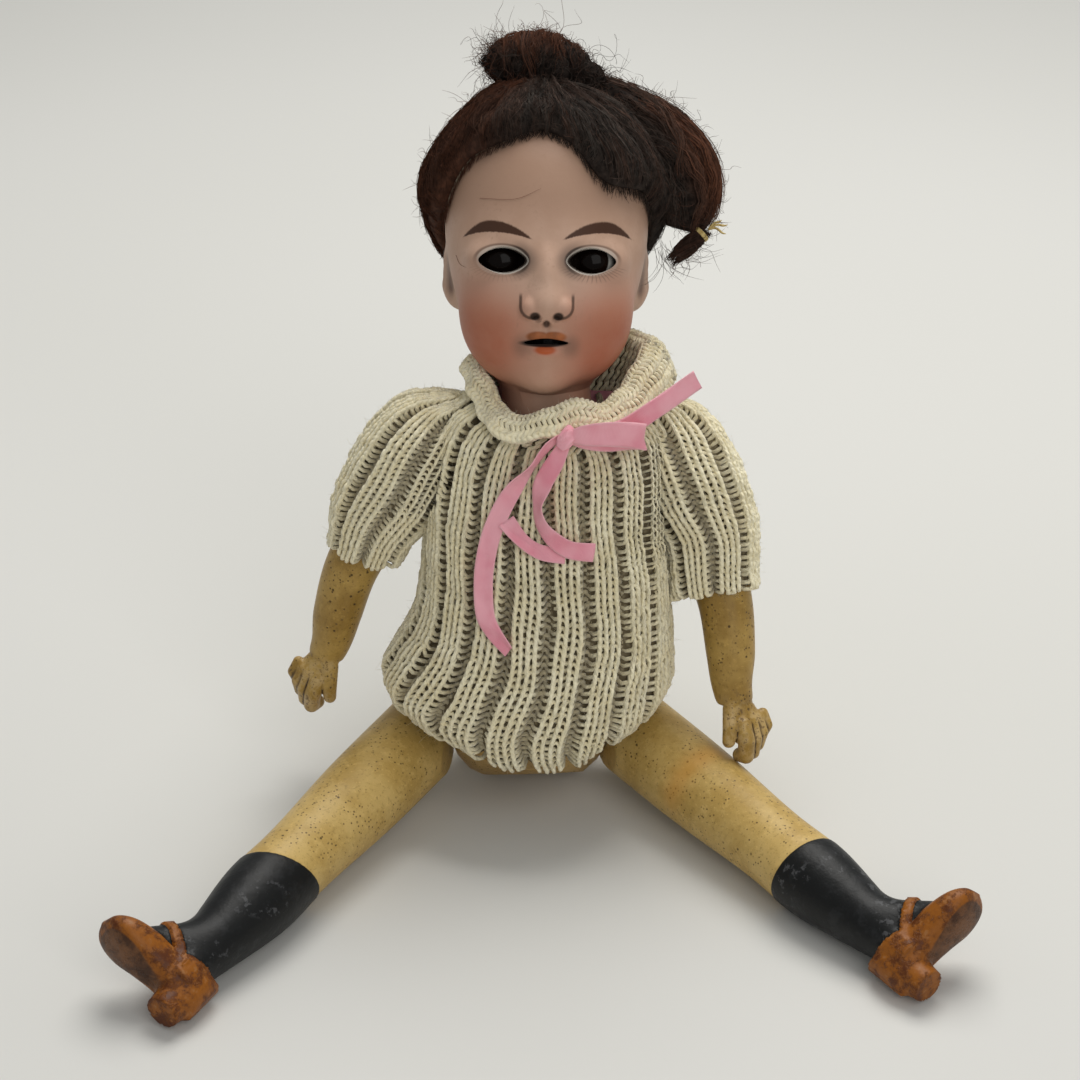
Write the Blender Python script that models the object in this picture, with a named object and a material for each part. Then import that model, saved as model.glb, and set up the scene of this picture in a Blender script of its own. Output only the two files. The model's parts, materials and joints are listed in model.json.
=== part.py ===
"""Bisque-headed doll with a strung composition body, seated on the floor in a knitted sweater.

Metres, +Z up. The doll faces -Y, its left side is +X, and the origin lies on the flat that it
sits on. Each piece is one object; empties carry the moving pieces and sit on their joints.
"""
import math

import bmesh
import bpy
import numpy as np
from mathutils import Matrix, Vector

MM = 0.001
DEG = math.pi / 180

# Clearances
GAP = 0.35 * MM              # between two pieces that touch
SEAM_GAP = 0.3 * MM          # glue line between the torso shells
EASE = 1.0 * MM              # knit over the torso

# Pose of the seated doll
TORSO_LEAN = 9 * DEG         # backward
TORSO_ROLL = 4 * DEG         # toward the doll's left
NECK_TILT = 10 * DEG         # turning axis of the head, backward from upright
HEAD_NOD = 13 * DEG          # head tipped back on the neck
LEG_SPLAY = 34 * DEG         # legs apart, from straight ahead
LEG_ROLL = 54 * DEG          # toes turned out
ARM_SWING_LEFT = 18 * DEG    # forward
ARM_SWING_RIGHT = -6 * DEG   # backward

# Torso shells
TORSO_WALL = 2.8 * MM
SEAT_CUT = 2.0 * MM          # rounded bottom taken off by the sitting flat
HIP_LEVEL = 15 * MM
HIP_HALF_WIDTH = 19 * MM
HIP_HALF_DEPTH = 13 * MM
WAIST_LEVEL = 40 * MM
WAIST_HALF_WIDTH = 21 * MM
WAIST_HALF_DEPTH = 15.5 * MM
CHEST_LEVEL = 62 * MM
CHEST_HALF_WIDTH = 24.5 * MM
CHEST_HALF_DEPTH = 17 * MM
YOKE_LEVEL = 79.5 * MM
YOKE_HALF_WIDTH = 23.5 * MM
YOKE_HALF_DEPTH = 14.5 * MM
TORSO_TOP = 84 * MM
TOP_HALF_WIDTH = 15.5 * MM
TOP_HALF_DEPTH = 12.8 * MM
TORSO_FORWARD = 3.5 * MM     # torso axis ahead of the sitting flat's middle
SEAT_BACK = 7.5 * MM         # bottom of the torso behind its axis
SHELL_SEAM = -6 * MM         # side seam, from the sitting flat's middle
SEAT_FLATNESS = 0.65         # 1 is a half oval, less is flatter below

# Joints of the limbs
SHOULDER_HALF = 21.5 * MM    # shoulder face from the middle
SHOULDER_LEVEL = 78 * MM
SHOULDER_BACK = 4 * MM
SHOULDER_SLOPE = 12 * DEG
ARM_SET = 7.5 * MM           # arm axis out from the shoulder face
HIP_HALF = 17.6 * MM         # hip face from the middle
HIP_HEIGHT = 12.5 * MM       # above the floor
HIP_BACK = 1.5 * MM
HIP_TURN = 12 * DEG          # hip face turned backward
LEG_SET = 7 * MM             # leg axis out from the hip face
STRING_HOLE_R = 3.2 * MM     # hole in a joint face

# Arm with moulded hand
SHOULDER_R = 8.5 * MM
ELBOW_DROP = 30 * MM
ELBOW_R = 6.1 * MM
FOREARM_DROP = 44 * MM
FOREARM_R = 5.5 * MM
WRIST_DROP = 53 * MM
WRIST_R = 4.3 * MM
ARM_LENGTH = 69 * MM
HAND_HALF_WIDTH = 5.8 * MM
HAND_HALF_DEPTH = 5.8 * MM
THUMB_R = 2.3 * MM
ARM_SPREAD_LEFT = 0.145      # outward lean of the arm, run over drop
ARM_SPREAD_RIGHT = 0.165
ELBOW_BOW = 3.5 * MM         # elbow out from the line of the arm

# Leg with moulded stocking and shoe
THIGH_R = 10.3 * MM
KNEE_REACH = 51 * MM
KNEE_R = 8.7 * MM
CALF_REACH = 66 * MM
CALF_R = 8.7 * MM
ANKLE_REACH = 88 * MM
ANKLE_R = 5.6 * MM
LEG_LENGTH = 101 * MM        # hip centre to sole
SHOE_HALF_WIDTH = 6.4 * MM
SHOE_TOE = 19.5 * MM         # ahead of the leg axis
SHOE_BACK = 8 * MM           # behind the leg axis
SHOE_TOP = 10.5 * MM         # above the sole
HEEL_HEIGHT = 2.8 * MM
HEEL_R = 4.3 * MM
HEEL_INSET = 1 * MM          # heel ahead of the back of the shoe

# Stringing
WIRE_R = 0.8 * MM
HOOK_SEAT = 5 * MM           # wire let into a limb
HOOK_REACH = 10 * MM         # wire inside the torso
HOOK_KNOB_R = 1.9 * MM
CORD_R = 0.75 * MM
PASS_BACK = 6.5 * MM         # arm elastic behind the neck hook

# Head
NECK_LEVEL = 87 * MM         # neck ball centre above the seat, along the torso
NECK_BALL_R = 11 * MM
NECK_R = 9.8 * MM
NECK_HOLE_R = 4.5 * MM
HEAD_WALL = 2.6 * MM
CRANIUM_HALF_WIDTH = 22.6 * MM
CRANIUM_HALF_DEPTH = 26 * MM
CRANIUM_HALF_HEIGHT = 26 * MM
CRANIUM_LEVEL = 48.5 * MM    # above the neck ball centre
CRANIUM_BACK = 4 * MM
FACE_HALF_WIDTH = 19 * MM
FACE_HALF_DEPTH = 19 * MM
FACE_HALF_HEIGHT = 22 * MM
FACE_LEVEL = 33 * MM
FACE_FORWARD = 4.5 * MM
FACE_FULLNESS = 2.5          # 2 is an oval, more is squarer
CHEEK_R = 9.8 * MM
CHEEK_HALF_SPACING = 7.5 * MM
CHEEK_LEVEL = 27 * MM
CHEEK_FORWARD = 11.5 * MM
CHIN_R = 6.5 * MM
CHIN_LEVEL = 14.5 * MM
CHIN_FORWARD = 15.5 * MM
NOSE_LEVEL = 30 * MM
NOSE_HALF_WIDTH = 4.2 * MM
NOSE_LENGTH = 12 * MM
NOSE_RISE = 3.6 * MM         # tip ahead of the face
BRIDGE_IN = 1.2 * MM         # middle of the nose bridge behind the face
EAR_LEVEL = 34 * MM
EAR_HALF_HEIGHT = 8 * MM
EAR_HALF_DEPTH = 4 * MM
EAR_OUT = 2.2 * MM
CRANIUM_BLEND = 8 * MM       # softness where two forms of the head meet
CHEEK_BLEND = 6 * MM
CHIN_BLEND = 4 * MM
NECK_BLEND = 3 * MM
NOSE_BLEND = 2.5 * MM
EAR_BLEND = 1.5 * MM
CROWN_CUT = 61 * MM          # level of the cut crown on the head's axis
CROWN_SLOPE = 24 * DEG       # cut falls toward the back
MOUTH_LEVEL = 22.2 * MM
MOUTH_WIDTH = 9.5 * MM
MOUTH_OPENING = 1.2 * MM

# Sleeping eyes
EYE_SPACING = 19.6 * MM
EYE_LEVEL = 39.5 * MM
EYE_R = 6.0 * MM
EYE_INSET = 1.6 * MM         # front of the eyeball behind the face
EYE_OPENING_WIDTH = 10.6 * MM
EYE_OPENING_HEIGHT = 5.8 * MM
EYE_OPENING_START = 0.1      # first point of the opening, from its corner, in radians
AXLE_R = 0.7 * MM
AXLE_SEAT = 3.5 * MM         # axle let into each eye
YOKE_BACK = 2 * MM           # yoke behind the eyes
YOKE_SEAT = 3 * MM           # yoke let into each eye
WEIGHT_R = 4.2 * MM
WEIGHT_DROP = 17 * MM        # below the eye axis
WEIGHT_BACK = 10 * MM        # behind the eye axis
BRIDGE_R = 2.6 * MM          # plaster round the axle

# Neck plug
PLUG_TOP = 4.5 * MM          # below the neck ball centre
PLUG_WIRE_STAND = 2 * MM     # hook head above the plug

# Wig
CAP_THICKNESS = 0.8 * MM
HAIR_THICKNESS = 3.2 * MM
HAIRLINE_FRONT = 66 * MM     # level of the hairline on the forehead
HAIRLINE_FALL = 44 * DEG     # hairline falls toward the nape
FOREHEAD_FORWARD = 15 * MM
TOPKNOT_HALF_WIDTH = 13.2 * MM
TOPKNOT_HALF_DEPTH = 8.5 * MM
TOPKNOT_HALF_HEIGHT = 6.4 * MM
TOPKNOT_RISE = 3.4 * MM      # centre above the hair
TAIL_R = 6.6 * MM
TAIL_END_R = 3.2 * MM
TAIL_DROP = 41 * MM          # from the crown of the hair to the tail's end
TAIL_OUT = 7 * MM            # tail's middle out from the side of the hair
TAIL_ROOT = 12 * MM          # root of the tail in from the side of the hair
TAIL_BACK = 3 * MM           # behind the middle of the cranium
THREAD_R = 0.6 * MM

# Sweater
KNIT = 2.2 * MM
SHOULDER_RISE = 4.5 * MM     # garment stands above the torso at the shoulders
HEM_HALF_WIDTH = 33 * MM
HEM_FRONT = 30 * MM
HEM_BACK = 21 * MM
HEM_CLEAR = 1.2 * MM         # hem above the thighs
HEM_DROOP = 5 * MM           # hem between the thighs
HEM_BACK_LEVEL = 6 * MM
SLEEVE_LENGTH_LEFT = 28.5 * MM
SLEEVE_LENGTH_RIGHT = 24.6 * MM
SLEEVE_PUFF = 5.0 * MM       # over the top of the arm
SLEEVE_CUFF_EASE = 2.0 * MM  # round the arm at the cuff
SLEEVE_OUT = 0.4 * MM        # sleeve centre out from the arm's
COLLAR_INNER_R = 15.4 * MM
COLLAR_WIDTH = 3.4 * MM
COLLAR_HEIGHT = 5.0 * MM     # in front
COLLAR_SIDE_HEIGHT = 10.5 * MM  # at the sides and the back
COLLAR_FLARE = 2.6 * MM      # rim of the standing part out from its foot

# Ribbon
RIBBON_WIDTH = 6.2 * MM
RIBBON_THICKNESS = 0.6 * MM
RIBBON_OFF = 0.6 * MM        # ribbon off the knit
KNOT_HALF = 3.6 * MM
LOOP_LENGTH = 13 * MM
LOOP_DEPTH = 5 * MM
KNOT_OUT = 4 * MM            # knot to the doll's left of the middle
LONG_TAIL_DROP = 46 * MM     # below the knot
LONG_TAIL_SWAY = 19 * MM     # toward the doll's right
SHORT_TAIL_DROP = 25 * MM
SHORT_TAIL_SWAY = 8 * MM     # toward the doll's left
UP_TAIL = 19 * MM

REACH = 0.4                  # half-space cutters, larger than the doll
ROUND = 18                   # points round a limb
BIG_ROUND = 26               # points round the torso and the knit


for old in list(bpy.data.objects):
    bpy.data.objects.remove(old)


def material(name, colour, roughness, metallic=0.0):
    made = bpy.data.materials.new(name)
    made.use_nodes = True
    shader = made.node_tree.nodes["Principled BSDF"]
    shader.inputs["Base Color"].default_value = (*colour, 1)
    shader.inputs["Roughness"].default_value = roughness
    shader.inputs["Metallic"].default_value = metallic
    return made


BISQUE = material("bisque", (0.60, 0.36, 0.26), 0.55)
GLASS = material("eye_glass", (0.03, 0.02, 0.015), 0.08)
MOHAIR = material("mohair", (0.045, 0.026, 0.018), 0.7)
GAUZE = material("gauze", (0.45, 0.38, 0.28), 0.9)
CARD = material("pasteboard", (0.36, 0.25, 0.15), 0.9)
PLASTER = material("plaster", (0.75, 0.72, 0.66), 0.9)
LEAD = material("lead", (0.18, 0.18, 0.19), 0.5, 0.9)
WIRE = material("iron_wire", (0.22, 0.20, 0.18), 0.45, 1.0)
WOOD = material("turned_wood", (0.42, 0.27, 0.14), 0.7)
COMPOSITION = material("composition", (0.62, 0.36, 0.13), 0.4)
ELASTIC = material("elastic", (0.70, 0.66, 0.58), 0.9)
WOOL = material("ivory_wool", (0.72, 0.65, 0.53), 0.95)
SATIN = material("pink_satin", (0.66, 0.34, 0.33), 0.4)
THREAD = material("straw_thread", (0.62, 0.47, 0.20), 0.8)


def frame(name, pose, parent=None):
    """Empty that carries a moving piece."""
    empty = bpy.data.objects.new(name, None)
    bpy.context.collection.objects.link(empty)
    empty.parent = parent
    empty.matrix_basis = pose
    return empty


def piece(name, bm, finish=None, parent=None, pose=None):
    """Object from a bmesh; without a finish it is a hidden cutting or joining body."""
    mesh = bpy.data.meshes.new(name)
    bmesh.ops.recalc_face_normals(bm, faces=bm.faces)
    bm.to_mesh(mesh)
    bm.free()
    for face in mesh.polygons:
        face.use_smooth = True
    made = bpy.data.objects.new(name, mesh)
    bpy.context.collection.objects.link(made)
    made.parent = parent
    if pose is not None:
        made.matrix_basis = pose
    if finish is None:
        made.hide_render = True
        made.display_type = "WIRE"
    else:
        mesh.materials.append(finish)
    return made


def combine(target, operation, *others):
    for other in others:
        step = target.modifiers.new(f"{operation}_{other.name}"[:60], "BOOLEAN")
        step.operation = operation
        step.solver = "EXACT"
        step.object = other


def cut(target, *others):
    combine(target, "DIFFERENCE", *others)


def join(target, *others):
    combine(target, "UNION", *others)


def keep(target, *others):
    combine(target, "INTERSECT", *others)


def loft(rings, closed=False):
    """Skin through rings of points; a one-point ring is a pole and a longer end ring is capped."""
    bm = bmesh.new()
    loops = [[bm.verts.new(point) for point in ring] for ring in rings]
    pairs = list(zip(loops, loops[1:]))
    if closed:
        pairs.append((loops[-1], loops[0]))
    for low, high in pairs:
        count = max(len(low), len(high))
        for i in range(count):
            j = (i + 1) % count
            corners = (low[i % len(low)], low[j % len(low)], high[j % len(high)], high[i % len(high)])
            bm.faces.new(list(dict.fromkeys(corners)))
    if not closed:
        for end in (loops[0], loops[-1]):
            if len(end) > 2:
                bm.faces.new(end)
    return bm


def circle(count):
    return [2 * math.pi * i / count for i in range(count)]


def smooth(low, high, value):
    share = min(max((value - low) / (high - low), 0), 1)
    return share * share * (3 - 2 * share)


def through(stations, value):
    """Smooth run of numbers through (place, number, ...) stations."""
    places = [station[0] for station in stations]
    index = min(max(int(np.searchsorted(places, value)) - 1, 0), len(places) - 2)
    span = places[index + 1] - places[index]
    share = min(max((value - places[index]) / span, 0), 1)
    result = []
    for column in range(1, len(stations[0])):
        numbers = [station[column] for station in stations]
        slopes = []
        for i in (index, index + 1):
            before, after = max(i - 1, 0), min(i + 1, len(places) - 1)
            slopes.append((numbers[after] - numbers[before]) / (places[after] - places[before]) * span)
        start, end = numbers[index], numbers[index + 1]
        curve = (2 * start - 2 * end + slopes[0] + slopes[1]) * share ** 3
        curve += (3 * end - 3 * start - 2 * slopes[0] - slopes[1]) * share ** 2
        result.append(curve + slopes[0] * share + start)
    return result


def along(direction, place=(0, 0, 0)):
    """Pose whose +Z runs along a direction."""
    turn = Vector(direction).to_track_quat("Z", "Y").to_matrix().to_4x4()
    return Matrix.Translation(place) @ turn


def half_space(name, place, normal, parent=None):
    """Body filling everything on the normal's side of a plane."""
    bm = bmesh.new()
    bmesh.ops.create_cube(bm, size=REACH)
    bmesh.ops.translate(bm, verts=bm.verts, vec=(0, 0, REACH / 2))
    return piece(name, bm, parent=parent, pose=along(normal, place))


def ball(name, radius, place, finish=None, parent=None, segments=ROUND):
    bm = bmesh.new()
    bmesh.ops.create_uvsphere(bm, u_segments=segments, v_segments=segments // 2, radius=radius)
    return piece(name, bm, finish, parent, Matrix.Translation(place))


def rod(name, radius, start, end, finish=None, parent=None, segments=12):
    start, end = Vector(start), Vector(end)
    bm = bmesh.new()
    bmesh.ops.create_cone(bm, cap_ends=True, segments=segments, radius1=radius, radius2=radius,
                          depth=(end - start).length)
    return piece(name, bm, finish, parent, along(end - start, (start + end) / 2))


def torus(ring_r, wire_r, ring_points=14, wire_points=6):
    rings = []
    for turn in circle(ring_points):
        ring = []
        for round_wire in circle(wire_points):
            reach = ring_r + wire_r * math.cos(round_wire)
            ring.append((reach * math.cos(turn), reach * math.sin(turn), wire_r * math.sin(round_wire)))
        rings.append(ring)
    return loft(rings, closed=True)


def sweep(points, radii, count):
    """Round tube along points, its ends drawn to poles."""
    points = [Vector(point) for point in points]
    rings = [[points[0]]]
    side = Vector((0, 1, 0))
    for i in range(1, len(points) - 1):
        run = (points[i + 1] - points[i - 1]).normalized()
        across = run.cross(side).normalized()
        lift = across.cross(run)
        rings.append([points[i] + radii[i] * (math.cos(t) * across + math.sin(t) * lift)
                      for t in circle(count)])
    rings.append([points[-1]])
    return loft(rings)


# Frames: torso, neck, head, limbs
TORSO_POSE = Matrix.Rotation(-TORSO_LEAN, 4, "X") @ Matrix.Rotation(TORSO_ROLL, 4, "Y")
torso_frame = frame("torso_frame", TORSO_POSE)
NECK_CENTRE = TORSO_POSE @ Vector((0, -TORSO_FORWARD, NECK_LEVEL))
neck_frame = frame("neck_frame", Matrix.Translation(NECK_CENTRE) @ Matrix.Rotation(-NECK_TILT, 4, "X"))
head_frame = frame("head_frame", Matrix.Rotation(-HEAD_NOD, 4, "X"), neck_frame)

# Torso: two moulded half shells
TORSO_STATIONS = (
    (HIP_LEVEL, HIP_HALF_WIDTH, HIP_HALF_DEPTH),
    (WAIST_LEVEL, WAIST_HALF_WIDTH, WAIST_HALF_DEPTH),
    (CHEST_LEVEL, CHEST_HALF_WIDTH, CHEST_HALF_DEPTH),
    (YOKE_LEVEL, YOKE_HALF_WIDTH, YOKE_HALF_DEPTH),
    (TORSO_TOP, TOP_HALF_WIDTH, TOP_HALF_DEPTH),
)
DOME_STEPS = 5
TORSO_STEPS = 14


def torso_back(level):
    """Middle of the torso's section: the bottom sits behind the torso's axis."""
    return SEAT_BACK * (1 - smooth(-HIP_LEVEL, WAIST_LEVEL, level)) - TORSO_FORWARD


def oval(half_width, half_depth, level):
    return [Vector((half_width * math.cos(t), half_depth * math.sin(t) + torso_back(level), level))
            for t in circle(BIG_ROUND)]


def torso_rings(inset):
    """Torso's outer skin, or the skin of its hollow, a wall further in."""
    bottom = -SEAT_CUT + inset
    width, depth = HIP_HALF_WIDTH - inset, HIP_HALF_DEPTH - inset
    rings = [[Vector((0, torso_back(bottom), bottom))]]
    for i in range(1, DOME_STEPS):
        turn = i / DOME_STEPS * math.pi / 2
        spread = math.sin(turn) ** SEAT_FLATNESS
        level = HIP_LEVEL - (HIP_LEVEL - bottom) * math.cos(turn)
        rings.append(oval(width * spread, depth * spread, level))
    for level in np.linspace(HIP_LEVEL, TORSO_TOP, TORSO_STEPS):
        half_width, half_depth = through(TORSO_STATIONS, level)
        rings.append(oval(half_width - inset, half_depth - inset, min(level, TORSO_TOP - inset)))
        if level > TORSO_TOP - inset:
            break
    return rings


def shoulder_axis(side):
    return Vector((side * math.cos(SHOULDER_SLOPE), 0, math.sin(SHOULDER_SLOPE)))


def shoulder_place(side):
    return Vector((side * SHOULDER_HALF, SHOULDER_BACK - TORSO_FORWARD, SHOULDER_LEVEL))


def hip_axis(side):
    return Vector((side * math.cos(HIP_TURN), math.sin(HIP_TURN), 0))


def hip_place(side):
    return Vector((side * HIP_HALF, HIP_BACK, HIP_HEIGHT))


SIDES = (("left", 1), ("right", -1))
torso_hollow = piece("torso_hollow", loft(torso_rings(TORSO_WALL)), parent=torso_frame)
neck_cup = ball("neck_cup", NECK_BALL_R + GAP, NECK_CENTRE, segments=BIG_ROUND)
below_floor = half_space("below_floor", (0, 0, 0), (0, 0, -1))
torso_cuts = [torso_hollow, neck_cup, below_floor]
for name, side in SIDES:
    place, axis = shoulder_place(side), shoulder_axis(side)
    torso_cuts.append(half_space(f"shoulder_face_{name}", place, axis, torso_frame))
    torso_cuts.append(rod(f"shoulder_hole_{name}", STRING_HOLE_R, place - axis * 2 * TORSO_WALL,
                          place + axis * TORSO_WALL, parent=torso_frame))
    place, axis = hip_place(side), hip_axis(side)
    torso_cuts.append(half_space(f"hip_face_{name}", place, axis))
    torso_cuts.append(rod(f"hip_hole_{name}", STRING_HOLE_R, place - axis * 2 * TORSO_WALL,
                          place + axis * TORSO_WALL))
for name, facing in (("front", -1), ("back", 1)):
    shell = piece(f"torso_{name}", loft(torso_rings(0)), COMPOSITION, torso_frame)
    cut(shell, *torso_cuts)
    seam = (0, SHELL_SEAM + facing * SEAM_GAP / 2, 0)
    cut(shell, half_space(f"seam_{name}", seam, (0, -facing, 0), torso_frame))


# Arms: local +X is the shoulder axis, the arm hangs along -Z
arm_spread = {1: ARM_SPREAD_LEFT, -1: ARM_SPREAD_RIGHT}
arm_swing = {1: ARM_SWING_LEFT, -1: ARM_SWING_RIGHT}
sleeve_length = {1: SLEEVE_LENGTH_LEFT, -1: SLEEVE_LENGTH_RIGHT}


def arm_centre(side, drop):
    """Middle of the arm out from the shoulder face: a straight lean, bowed outward at the elbow."""
    drop = min(max(drop, 0), WRIST_DROP)
    return ARM_SET + arm_spread[side] * drop + ELBOW_BOW * math.sin(math.pi * drop / WRIST_DROP)


ARM_STATIONS = (
    (0, SHOULDER_R, SHOULDER_R),
    (ELBOW_DROP, ELBOW_R, ELBOW_R),
    (FOREARM_DROP, FOREARM_R, FOREARM_R),
    (WRIST_DROP, WRIST_R, WRIST_R),
    (WRIST_DROP + (ARM_LENGTH - WRIST_DROP) * 0.5, HAND_HALF_DEPTH, HAND_HALF_WIDTH),
    (ARM_LENGTH - HAND_HALF_DEPTH * 0.5, HAND_HALF_DEPTH * 0.8, HAND_HALF_WIDTH * 0.8),
)


def arm_ring(side, drop, half_out, half_fore, centre):
    return [Vector((side * (centre + half_out * math.cos(t)), half_fore * math.sin(t), -drop))
            for t in circle(ROUND)]


def arm_rings(side):
    rings = [[Vector((side * ARM_SET, 0, SHOULDER_R))]]
    for i in range(1, 5):
        turn = i / 5 * math.pi / 2
        spread = SHOULDER_R * math.sin(turn)
        rings.append(arm_ring(side, -SHOULDER_R * math.cos(turn), spread, spread, ARM_SET))
    last = ARM_STATIONS[-1][0]
    for drop in np.linspace(0, last, 13):
        half_out, half_fore = through(ARM_STATIONS, drop)
        rings.append(arm_ring(side, drop, half_out, half_fore, arm_centre(side, drop)))
    rings.append([Vector((side * arm_centre(side, ARM_LENGTH), 0, -ARM_LENGTH))])
    return rings


def sleeve_rings(side, layer):
    """Sleeve skin a knit layer outside its lining, from the puffed top to the cuff."""
    top_r = SHOULDER_R + SLEEVE_PUFF + layer
    centre = ARM_SET + SLEEVE_OUT
    rings = [[Vector((side * centre, 0, top_r))]]
    for i in range(1, 5):
        turn = i / 5 * math.pi / 2
        spread = top_r * math.sin(turn)
        rings.append(arm_ring(side, -top_r * math.cos(turn), spread, spread, centre))
    overrun = KNIT if layer == 0 else 0
    for drop in np.linspace(0, sleeve_length[side] + overrun, 6):
        arm_r = through(ARM_STATIONS, drop)[1]
        ease = SLEEVE_PUFF + (SLEEVE_CUFF_EASE - SLEEVE_PUFF) * drop / sleeve_length[side]
        reach = arm_r + ease + layer
        rings.append(arm_ring(side, drop, reach, reach, arm_centre(side, drop) + SLEEVE_OUT))
    return rings


def hook(name, parent):
    """Wire in the top of a limb: seated outward along +Z, knobbed inside the torso."""
    shank = rod(name, WIRE_R, (0, 0, -HOOK_REACH), (0, 0, HOOK_SEAT), WIRE, parent)
    join(shank, ball(f"{name}_knob", HOOK_KNOB_R, (0, 0, -HOOK_REACH), parent=parent, segments=10))
    return shank


for name, side in SIDES:
    slope = Matrix.Rotation(-side * SHOULDER_SLOPE, 4, "Y")
    swing = Matrix.Rotation(-arm_swing[side], 4, "X")
    arm_frame = frame(f"arm_frame_{name}", Matrix.Translation(shoulder_place(side)) @ slope @ swing,
                      torso_frame)
    outward = Vector((side, 0, 0))
    arm = piece(f"arm_{name}", loft(arm_rings(side)), COMPOSITION, arm_frame)
    hand_middle = (WRIST_DROP + ARM_LENGTH) / 2
    thumb_out = arm_centre(side, ARM_LENGTH) - HAND_HALF_DEPTH * 0.7
    join(arm, ball(f"thumb_{name}", THUMB_R, (side * thumb_out, -HAND_HALF_WIDTH * 0.75, -hand_middle),
                   parent=arm_frame, segments=16))
    cut(arm, half_space(f"arm_face_{name}", outward * GAP, -outward, arm_frame))
    cut(arm, rod(f"arm_bore_{name}", WIRE_R + GAP, (0, 0, 0), outward * (HOOK_SEAT + GAP),
                 parent=arm_frame))
    hook_frame = frame(f"arm_hook_frame_{name}", along(outward), arm_frame)
    hook(f"arm_hook_{name}", hook_frame)
    sleeve = piece(f"sweater_sleeve_{name}", loft(sleeve_rings(side, KNIT)), WOOL, arm_frame)
    cut(sleeve, piece(f"sleeve_lining_{name}", loft(sleeve_rings(side, 0)), parent=arm_frame))
    cut(sleeve, half_space(f"sleeve_seam_{name}", outward * GAP, -outward, arm_frame))


# Legs: local -Y runs down the leg, +Z is the front of the shin
LEG_STATIONS = (
    (0, THIGH_R),
    (KNEE_REACH * 0.5, THIGH_R * 0.97),
    (KNEE_REACH, KNEE_R),
    (CALF_REACH, CALF_R),
    (ANKLE_REACH, ANKLE_R),
    (LEG_LENGTH - SHOE_TOP * 0.4, ANKLE_R),
)


def leg_rings():
    rings = [[Vector((0, THIGH_R, 0))]]
    for i in range(1, 5):
        turn = i / 5 * math.pi / 2
        spread = THIGH_R * math.sin(turn)
        rings.append([Vector((spread * math.cos(t), THIGH_R * math.cos(turn), spread * math.sin(t)))
                      for t in circle(ROUND)])
    for reach in np.linspace(0, LEG_STATIONS[-1][0], 12):
        radius = through(LEG_STATIONS, reach)[0]
        rings.append([Vector((radius * math.cos(t), -reach, radius * math.sin(t)))
                      for t in circle(ROUND)])
    return rings


def shoe_rings():
    """Shoe from the back of the heel to the toe, a little below the sole so that the sole is cut flat."""
    length = SHOE_TOE + SHOE_BACK
    rings = [[Vector((0, -LEG_LENGTH + SHOE_TOP * 0.35, -SHOE_BACK))]]
    for i in range(1, 10):
        share = i / 10
        place = -SHOE_BACK + length * (1 - math.cos(math.pi * share)) / 2
        width = SHOE_HALF_WIDTH * math.sin(math.pi * share) ** 0.55
        width *= 0.82 + 0.18 * smooth(0.2, 0.7, share)
        height = SHOE_TOP * math.sin(math.pi * share) ** 0.5 * (1 - 0.35 * smooth(0.35, 0.95, share))
        rings.append([Vector((width * math.cos(t), -LEG_LENGTH - 0.5 * MM + height * (1 + math.sin(t)) / 2,
                              place)) for t in circle(16)])
    rings.append([Vector((0, -LEG_LENGTH + SHOE_TOP * 0.25, SHOE_TOE))])
    return rings


HEEL_PLACE = -SHOE_BACK + HEEL_R + HEEL_INSET


def resting_pitch(side):
    """Slope of the leg that lays its lowest point on the floor."""
    points = [point for ring in leg_rings() + shoe_rings() for point in ring if point.y > -LEG_LENGTH]
    points += [Vector((HEEL_R * math.cos(t), -LEG_LENGTH - HEEL_HEIGHT, HEEL_PLACE + HEEL_R * math.sin(t)))
               for t in circle(20)]
    roll = Matrix.Rotation(side * LEG_ROLL, 4, "Y")
    points = [roll @ point for point in points]
    low, high = -20 * DEG, 30 * DEG
    for _ in range(40):
        middle = (low + high) / 2
        pitch = Matrix.Rotation(middle, 4, "X")
        lowest = min((pitch @ point).z for point in points)
        low, high = (middle, high) if lowest > -HIP_HEIGHT else (low, middle)
    return low


for name, side in SIDES:
    centre = hip_place(side) + hip_axis(side) * LEG_SET
    splay = Matrix.Rotation(side * LEG_SPLAY, 4, "Z")
    pitch = Matrix.Rotation(resting_pitch(side), 4, "X")
    leg_frame = frame(f"leg_frame_{name}", Matrix.Translation(centre) @ splay @ pitch)
    roll = Matrix.Rotation(side * LEG_ROLL, 4, "Y")
    leg = piece(f"leg_{name}", loft(leg_rings()), COMPOSITION, leg_frame, roll)
    shoe = piece(f"shoe_{name}", loft(shoe_rings()), parent=leg_frame, pose=roll)
    cut(shoe, half_space(f"sole_{name}", (0, -LEG_LENGTH, 0), (0, -1, 0), leg_frame))
    heel = rod(f"heel_{name}", HEEL_R, roll @ Vector((0, -LEG_LENGTH - HEEL_HEIGHT, HEEL_PLACE)),
               roll @ Vector((0, -LEG_LENGTH + HEEL_HEIGHT, HEEL_PLACE)), parent=leg_frame, segments=20)
    join(leg, shoe, heel)
    axis = hip_axis(side)
    cut(leg, half_space(f"leg_face_{name}", hip_place(side) + axis * GAP, -axis))
    cut(leg, rod(f"leg_bore_{name}", WIRE_R + GAP, hip_place(side),
                 hip_place(side) + axis * (HOOK_SEAT + GAP)))
    hook_pose = leg_frame.matrix_basis.inverted() @ along(axis, hip_place(side))
    hook(f"leg_hook_{name}", frame(f"leg_hook_frame_{name}", hook_pose, leg_frame))

# Elastics: a loop round each wire, behind its knob, and cord between the loops
LOOP_R = WIRE_R + GAP + CORD_R
LOOP_SET = HOOK_REACH - HOOK_KNOB_R - GAP - CORD_R


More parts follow.
